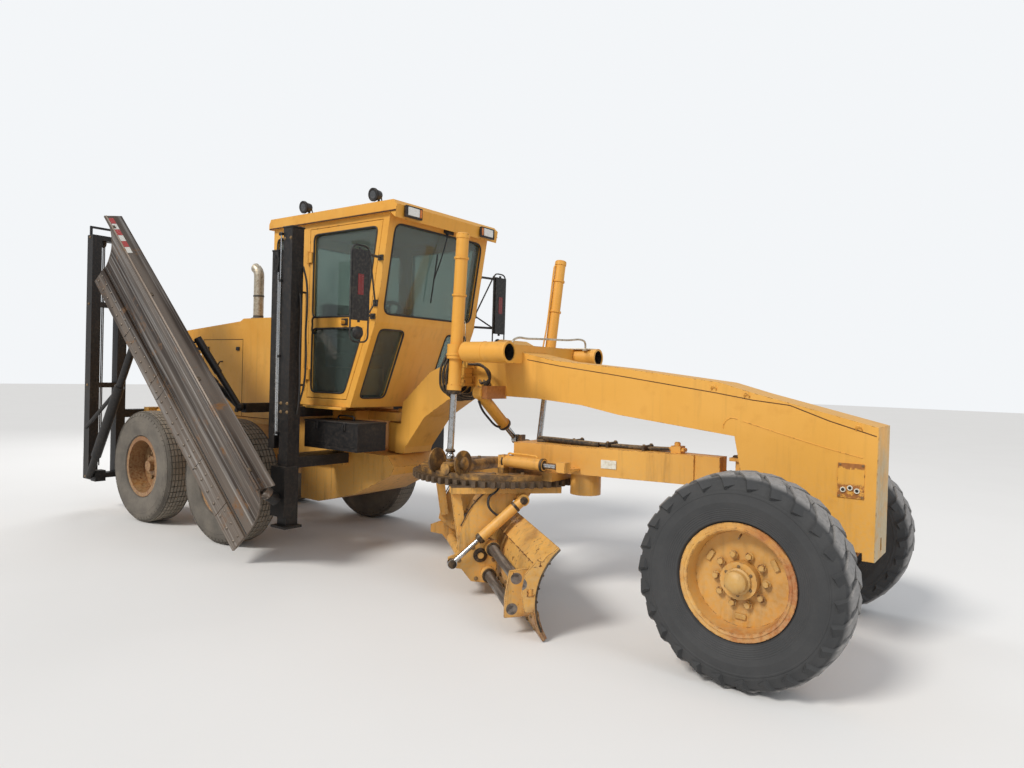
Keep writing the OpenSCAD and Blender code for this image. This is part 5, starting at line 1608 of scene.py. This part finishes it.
    def roof(self) -> None:
        """Builds the roof's gutter strips, painted dark as shadow lines, its lamps, and the door sills."""
        gutter_shadow_strips, lenses, bezels, amber, work = [], [], [], [], []
        for side in Side:
            s = side.value
            y = s * (self.half + 30)
            # A thin strip under the roof's edge, coloured as the shadow line there.
            gutter_shadow_strips.append(slab(y, s * 9, (-5110, -3270), (3228, 3241)))
            lenses.append(slab(s * 470, s * 145, (-3238, -3229), (3207, 3282), 3))
            amber.append(slab(s * 436, s * 26, (-3238, -3230), (3207, 3282), 3))
            loop = [(-3238, s * y, z) for y, z in ((432, 3196), (638, 3196), (638, 3290), (432, 3290))]
            bezels.append(drawn(loop, 6))
        for x in (-4560, -3560):
            way = Vector((0, -math.sin(math.radians(98)), math.cos(math.radians(98))))
            seat = Vector((x, -660, 3413)) + way * 80
            work.append(turned([(52, -2), (50, 4), (30, 7), (4, 8)], seat, way, 24))
            bezels.append(turned([(50, -14), (61, -12), (61, 6), (54, 9), (50, 6)], seat, way, 24))
            bezels.append(pipe([(x, -640, 3400), (x - 30, -600, 3360), (x - 60, -560, 3342),
                                (x - 120, -520, 3340)], 6))
        assemble("roof_gutters", gutter_shadow_strips, Body.REAR, Coat.seam)
        assemble("roof_lenses", lenses, Body.REAR, Coat.lens)
        assemble("work_lamp_lenses", work, Body.REAR, Coat.dark_lens)
        assemble("roof_ambers", amber, Body.REAR, Coat.amber)
        assemble("roof_bezels", bezels, Body.REAR, Coat.black)
        sills = [slab(s * 701, s * 61, (-4470, -3900), (1424, 1448), 3) for s in (-1, 1)]
        assemble("cab_sills", sills, Body.REAR, Coat.cylinder)

    def wiper(self) -> None:
        """Builds the wiper that hangs from the top of the windscreen."""
        top = Vector((self.front(3185) + 6, 70, 3185))
        low = Vector((self.front(2720) + 22, -40, 2720))
        parts = [turned([(30, -6), (30, 10), (20, 18), (6, 20)], top, (1, 0, 0), 16),
                 pipe([top + Vector((16, 0, 0)), (top + low) / 2 + Vector((20, 0, 0)),
                       low + Vector((4, 0, 0))], 6),
                 block((self.front(3185) - 4, 20, 3165), (self.front(3185) + 14, 160, 3222), 4)]
        blade = rod(low + Vector((self.front(2950) - self.front(2720), 0, 230)), low - Vector(
            (self.front(2720) - self.front(2480), 0, 240)), 7, 8)
        assemble("wiper", [*parts, blade], Body.REAR, Coat.black)

    @staticmethod
    def seat() -> None:
        """Builds the seat's cushions, which take the place of the plain solid."""
        base = block((-4700, -180, 1500), (-4350, 180, 1828), 12)
        cushion = rounded(block((-4800, -260, 1832), (-4282, 260, 1966), 0), 44, 4)
        wings = [rounded(block((-4780, s * 215 - 40, 1930), (-4300, s * 215 + 40, 1985), 0), 24, 3)
                 for s in (-1, 1)]
        back = rounded(block((-60, -245, 0), (55, 245, 545), 0), 42, 4)
        back.matrix_world = Matrix.Translation((-4.752, 0, 1.972)) @ Matrix.Rotation(
            math.radians(-10.3), 4, "Y")
        take([back])
        bpy.ops.object.transform_apply(location=True, rotation=True, scale=True)
        rests = [rod((-4720, s * 285, 2180), (-4420, s * 285, 2150), 26, 16, 12) for s in (-1, 1)]
        foam = assemble("seat_cushions", [cushion, back, *wings], Body.REAR, Coat.vinyl, angle=60)
        assemble("seat_frame", [base, *rests], Body.REAR, Coat.plastic)
        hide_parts("seat")


@dataclass
class Hood:
    """Painted seam shadows, latches and handles of the hood, and the fittings of the stack, battery, masts
    and tail.
    """

    half: float = 500.0
    cleaner: tuple[float, float] = (-5450, -300)
    stack: tuple[float, float] = (-5800, -380)

    def build(self) -> None:
        """Builds the fittings of the rear body."""
        seam_shadows, latches, ledges = [], [], []
        for side in Side:
            s, y = side.value, side.value * self.half
            # Thin dark strips at the panel gaps, painted as the gaps' shadows.
            upright = [((x, x + 7), (1250, 2120 if x > -7000 else 2060)) for x in (-5905, -6700, -7360)]
            level = [((-7700, -5160), (1243, 1250)), ((-6693, -5905), (2112, 2119)),
                     ((-7700, -6700), (2052, 2059))]
            seam_shadows += [slab(y, s * 1.6, x, z, 0) for x, z in upright + level]
            latches += [slab(y, s * 14, (x - 30, x + 30), (z, z + 40), 3)
                        for x in (-5990, -6610, -6780, -7270) for z in (1290, 1990)]
            latches.append(pipe([(-6300, y, 1700), (-6300, y + s * 40, 1712), (-6300, y + s * 40, 1850),
                                 (-6300, y, 1862)], 8))
            ledges.append(slab(y, s * 26, (-7715, -5155), (1182, 1236), 4))
        assemble("hood_seams", seam_shadows, Body.REAR, Coat.seam)
        assemble("hood_latches", latches, Body.REAR, Coat.black)
        assemble("hood_ledges", ledges, Body.REAR, Coat.body)
        cap = turned([(112, 0), (124, 4), (128, 14), (118, 34), (84, 52), (20, 60)],
                     (*self.cleaner, 2488), (0, 0, 1), 28)
        bowl = turned([(88, 0), (112, 8), (116, 18), (112, 26)], (*self.cleaner, 2462), (0, 0, 1), 28)
        pedestal = turned([(62, 0), (62, 12), (56, 16)], (*self.cleaner, 2350), (0, 0, 1), 24)
        assemble("cleaner_cap", [cap, bowl, pedestal], Body.REAR, Coat.cylinder)
        foot = turned([(78, 0), (78, 10), (58, 18), (56, 40)], (*self.stack, 2350), (0, 0, 1), 28)
        clamp = turned([(56, 0), (60, 2), (60, 18), (56, 20)], (*self.stack, 2600), (0, 0, 1), 28)
        assemble("stack_foot", [foot, clamp], Body.REAR, Coat.iron)
        self.battery()
        self.masts()
        self.tail()

    @staticmethod
    def battery() -> None:
        """Builds the battery box's lid and latches, and the tread on the steps."""
        parts = [block((-4386, -806, 1300), (-3614, -444, 1318), 4)]
        for x in (-4200, -3800):
            parts.append(block((x - 18, -812, 1240), (x + 18, -800, 1312), 3))
            parts.append(pipe([(x, -812, 1232), (x, -824, 1238), (x, -824, 1286), (x, -812, 1294)], 4))
        parts.append(block((-4370, -804, 1090), (-3630, -799, 1096), 0))
        parts.append(pipe([(-4100, -620, 1318), (-4100, -620, 1350), (-4040, -620, 1362), (-3940, -620, 1362),
                           (-3880, -620, 1350), (-3880, -620, 1318)], 8))
        assemble("battery_lid", parts, Body.REAR, Coat.black)
        teeth = [block((-4572 + 26 * i, y, z + 25), (-4560 + 26 * i, y + 6, z + 31), 0)
                 for z in (690, 930, 1170, 1400) for i in range(15) for y in (790, 870, 950)]
        assemble("step_teeth", teeth, Body.REAR, Coat.grease)

    @staticmethod
    def masts() -> None:
        """Builds the masts' bright rods, pulleys, cables, hoses and bolts."""
        bright = [rod((-4336, -1163, 1180), (-4336, -1163, 2620), 13, 12),
                  rod((-4315, -1163, 1180), (-4315, -1163, 3060), 7, 12),
                  rod((-4395, -1128, 1240), (-4395, -1128, 2700), 9, 12)]
        assemble("mast_rods", bright, Body.REAR, Coat.chrome)
        clips = [block((-4345, -1172, z), (-4298, -1150, z + 26)) for z in (1190, 1900, 2600, 3030)]
        pulleys = [turned([(52, 0), (60, 2), (60, 6), (46, 10), (46, 18), (60, 22), (60, 26), (52, 28)],
                          (-4235, -1120, z), (0, 1, 0), 28) for z in (3060, 420)]
        caps = [block((-4310, -1158, 3096), (-4160, -1012, 3112), 4),
                block((-4496, -1136, 2896), (-4394, -1014, 2912), 4)]
        assemble("mast_hardware", [*clips, *pulleys, *caps], Body.REAR, Coat.black)
        loose = [pipe([(-4440, -1140, 2860), (-4436, -1150, 2760), (-4410, -1156, 2700), (-4370, -1158, 2730),
                       (-4350, -1160, 2830)], 5),
                 pipe([(-4160, -1030, 2750), (-4130, -1010, 2600), (-4128, -1000, 2350), (-4140, -1000, 2150),
                       (-4128, -1000, 1900), (-4140, -1010, 1640), (-4165, -1030, 1500)], 9),
                 pipe([(-4160, -1060, 2500), (-4140, -1060, 2400), (-4142, -1060, 2000), (-4140, -1060, 1500),
                       (-4165, -1060, 1380)], 8)]
        assemble("mast_hoses", loose, Body.REAR, Coat.hose)
        seats = [((-4235 + x, -1150.5, z), (0, -1, 0)) for x in (-46, 46) for z in (1400, 1480, 3000)]
        seats += [((-8120, -1190.5, z + 30), (0, -1, 0)) for z in (370, 1500, 2500, 3320)]
        assemble("mast_bolts", bolts(seats, 12, 10), Body.REAR, Coat.bolt, angle=25)
        wheel = turned([(48, 0), (56, 2), (56, 6), (40, 10), (40, 18), (56, 22), (56, 26), (48, 28)],
                       (-8120, -1046, 3300), (0, 1, 0), 28)
        lines = [rod((x, -1032, z), (x, -1032, 3290), 7, 10) for x, z in ((-8130, 520), (-8090, 900))]
        assemble("rear_mast_cables", [wheel, *lines], Body.REAR, Coat.grease)

    @staticmethod
    def tail() -> None:
        """Builds the rear lamps and the tow pin."""
        red, amber, boxes = [], [], []
        for s in (-1, 1):
            y = s * 440
            boxes.append(block((-8062, y - 62, 1130), (-8050, y + 62, 1236), 4))
            red.append(block((-8070, y - 54, 1186), (-8061, y + 54, 1228), 3))
            amber.append(block((-8070, y - 54, 1138), (-8061, y + 54, 1180), 3))
        boxes.append(rod((-8110, 0, 700), (-8110, 0, 900), 20))
        boxes += [block((-8160, -60, z), (-8048, 60, z + 26), 6) for z in (730, 846)]
        assemble("rear_lamp_boxes", boxes, Body.REAR, Coat.black)
        assemble("rear_lamps", red, Body.REAR, Coat.red)
        assemble("rear_ambers", amber, Body.REAR, Coat.amber)


@dataclass
class Wing:
    """Edge bolts, painted shadow lines in the edge's gap and joints, ribs and tape of the snow wing, drawn in
    the wing's frame.
    """

    long: float = 3830.0
    high: float = 890.0
    sag: float = 110.0

    @property
    def bow(self) -> float:
        """Radius of the wing's bow."""
        return (self.high / 2) ** 2 / (2 * self.sag) + self.sag / 2

    def on_bow(self, radius: float, share: float, x: float) -> tuple[Triple, Triple]:
        """A place on the wing's bow.

        Args:
            radius: Distance from the bow's centre.
            share: 0 at the lower edge, 1 at the upper edge.
            x: Place along the wing.

        Returns:
            The place and the way towards the bow's centre.
        """
        turn = math.asin(self.high / 2 / self.bow) * (2 * share - 1)
        place = (x, self.bow - self.sag - radius * math.cos(turn), self.high / 2 + radius * math.sin(turn))
        return place, (0.0, math.cos(turn), -math.sin(turn))

    def build(self) -> None:
        """Builds the fittings of the wing."""
        margin, count = 60, 26
        gap = (self.long - 2 * margin) / (count - 1)
        steps = [margin + gap * index for index in range(count)]
        rows = (0.05, 0.13)
        front = [self.on_bow(self.bow - 18.5, share, x) for x in steps for share in rows]
        heads = turned([(13, 0), (13, 3), (9, 6), (3, 7)], (0, 0, 0), (0, 0, 1), 10)
        spots = [Matrix.Translation(Vector(seat) / 1000) @ frame_of(Vector(way)) for seat, way in front]
        assemble("wing_bolt_heads", copies(heads, spots), Body.WING, Coat.edge_bolt, WING)
        back = [(seat, tuple(-v for v in way)) for seat, way in
                (self.on_bow(self.bow + 14, share, x) for x in steps[::2] for share in rows)]
        assemble("wing_bolt_nuts", bolts(back, 13, 12, False), Body.WING, Coat.bolt, WING, 25)
        # The groove and the joints are black lines painted as the shadow in the gap between cutting edge and
        # wing, and between the edge's pieces.
        crest, gap_shadow = [
            pipe([self.on_bow(self.bow - 1.5, share, x)[0] for x in (4, 1300, 2600, self.long - 4)], 5)
            for share in (0.985, 0.225)]
        joint_shadows = [pipe([self.on_bow(self.bow - 17.5, share, x)[0] for share in (0.01, 0.1, 0.19)], 3)
                  for x in (960, 1915, 2870)]
        assemble("wing_gap_shadows", [gap_shadow, *joint_shadows], Body.WING, Coat.black, WING)
        shares = (0.03, 0.2, 0.4, 0.6, 0.8, 0.97)
        ends = [pipe([self.on_bow(self.bow + 2, share, x)[0] for share in shares], 7)
                for x in (3, self.long - 3)]
        assemble("wing_edges", [crest, *ends], Body.WING, Coat.edge_bolt, WING)
        red, white = [], []
        for index in range(6):
            x = self.long - 640 + 100 * index
            tape = block((x, -66, self.high + 0.3), (x + 96, -16, self.high + 1.8), 0)
            (red if index % 2 else white).append(tape)
        assemble("wing_tape_red", red, Body.WING, Coat.tape_red, WING)
        assemble("wing_tape_white", white, Body.WING, Coat.tape_white, WING)
        lugs = [block((x - 24, -40, self.high - 15), (x + 24, -12, self.high + 6), 3)
                for x in (210, 1330, 2530, 3630)]
        assemble("wing_lugs", lugs, Body.WING, Coat.grease, WING)


@dataclass
class Studio:
    """Camera, light and floor. The focal length is in pixels of a frame 1024 pixels wide."""

    eye: Triple = (5.2035, -5.0877, 1.804)
    yaw: float = 126.485
    pitch: float = -0.751
    roll: float = 1.6
    focal: float = 726.26
    frame_width: float = 1024.0
    sensor: float = 36.0
    reach: float = 200.0

    def build(self) -> None:
        """Sets up the camera, the lamps, the world and the floor."""
        yaw, pitch, roll = (math.radians(v) for v in (self.yaw, self.pitch, self.roll))
        ahead = Vector((math.cos(yaw) * math.cos(pitch), math.sin(yaw) * math.cos(pitch), math.sin(pitch)))
        right = Vector((math.sin(yaw), -math.cos(yaw), 0))
        up = right.cross(ahead)
        right, up = (right * math.cos(roll) + up * math.sin(roll),
                     up * math.cos(roll) - right * math.sin(roll))
        lens = bpy.data.cameras.new("photo camera")
        lens.sensor_width = self.sensor
        lens.lens = self.sensor * self.focal / self.frame_width
        lens.clip_end = self.reach
        camera = bpy.data.objects.new("photo camera", lens)
        bpy.context.collection.objects.link(camera)
        camera.matrix_world = Matrix.Translation(self.eye) @ Matrix(
            (right, up, -ahead)).transposed().to_4x4()
        bpy.context.scene.camera = camera
        self.sun("key", (-0.16, -0.78, 0.72), 2.3, (1.0, 0.965, 0.91))
        self.lamp("fill", (12.0, -2.0, 8.0), 8.0, 330, (0.93, 0.96, 1.0))
        self.lamp("back", (-10.0, 5.0, 8.0), 6.0, 380, (1.0, 1.0, 1.0))
        self.world()
        self.floor()
        bpy.context.scene.view_settings.view_transform = "Standard"
        LOG.info("studio is ready")

    @staticmethod
    def sun(name: str, way: Triple, strength: float, tint: Triple) -> None:
        """A wide soft light that falls evenly over the machine and the floor.

        Args:
            name: The lamp's name.
            way: The way from the machine to the light.
            strength: Its strength.
            tint: Its colour.
        """
        light = bpy.data.lights.new(name, "SUN")
        light.energy, light.color, light.angle = strength, tint, math.radians(16)
        lamp = bpy.data.objects.new(name, light)
        bpy.context.collection.objects.link(lamp)
        lamp.matrix_world = frame_of(Vector(way).normalized())

    @staticmethod
    def lamp(name: str, place: Triple, size: float, power: float, tint: Triple) -> None:
        """A square soft lamp that points at the machine.

        Args:
            name: The lamp's name.
            place: Where it hangs, in metres.
            size: Its width in metres.
            power: Its power in watts.
            tint: Its colour.
        """
        light = bpy.data.lights.new(name, "AREA")
        light.shape, light.size, light.energy, light.color = "SQUARE", size, power, tint
        lamp = bpy.data.objects.new(name, light)
        bpy.context.collection.objects.link(lamp)
        way = Vector((0, 0, 1.0)) - Vector(place)
        lamp.matrix_world = Matrix.Translation(place) @ frame_of(-way)

    @staticmethod
    def world() -> None:
        """A pale world, at a plain level for the light and white for the camera."""
        world = bpy.data.worlds.new("studio")
        bpy.context.scene.world = world
        world.use_nodes = True
        tree = world.node_tree
        tree.nodes.clear()
        out = tree.nodes.new("ShaderNodeOutputWorld")
        blend = tree.nodes.new("ShaderNodeMixShader")
        path = tree.nodes.new("ShaderNodeLightPath")
        seen, lit = tree.nodes.new("ShaderNodeBackground"), tree.nodes.new("ShaderNodeBackground")
        seen.inputs["Color"].default_value = (0.90, 0.92, 0.94, 1)
        lit.inputs["Color"].default_value = (0.92, 0.95, 1.0, 1)
        lit.inputs["Strength"].default_value = 0.5
        one = tree.nodes.new("ShaderNodeMath")
        one.operation = "MAXIMUM"
        tree.links.new(path.outputs["Is Camera Ray"], one.inputs[0])
        tree.links.new(path.outputs["Is Transmission Ray"], one.inputs[1])
        tree.links.new(one.outputs[0], blend.inputs[0])
        tree.links.new(lit.outputs[0], blend.inputs[1])
        tree.links.new(seen.outputs[0], blend.inputs[2])
        tree.links.new(blend.outputs[0], out.inputs[0])

    @staticmethod
    def floor() -> None:
        """A plain pale floor."""
        free_hands()
        bpy.ops.mesh.primitive_plane_add(size=120, location=(0, 0, 0))
        floor = bpy.context.object
        floor.name = "floor"
        board = Board("studio floor")
        board.set(Base_Color=board.mix(board.step(board.noise(0.6, 3), 0.3, 0.7, 0.3),
                                       (0.77, 0.765, 0.755), (0.735, 0.73, 0.718)), Roughness=0.85)
        floor.data.materials.append(board.material)


def main() -> None:
    """Builds every sub-assembly in order."""
    logging.basicConfig(level=logging.INFO, format="%(name)s %(message)s")
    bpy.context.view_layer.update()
    Studio().build()
    PackedParts().dress()
    Nose().build()
    Saddle().build()
    Drawbar().build()
    Blade().build()
    Cab().build()
    Hood().build()
    Wing().build()
    for side in Side:
        LiftCylinder(side).build()
        FrontWheel(side).build()
        TandemWheel(side, "mid", -5315.0).build()
        TandemWheel(side, "rear", -6885.0).build()


if __name__ == "__main__":
    main()
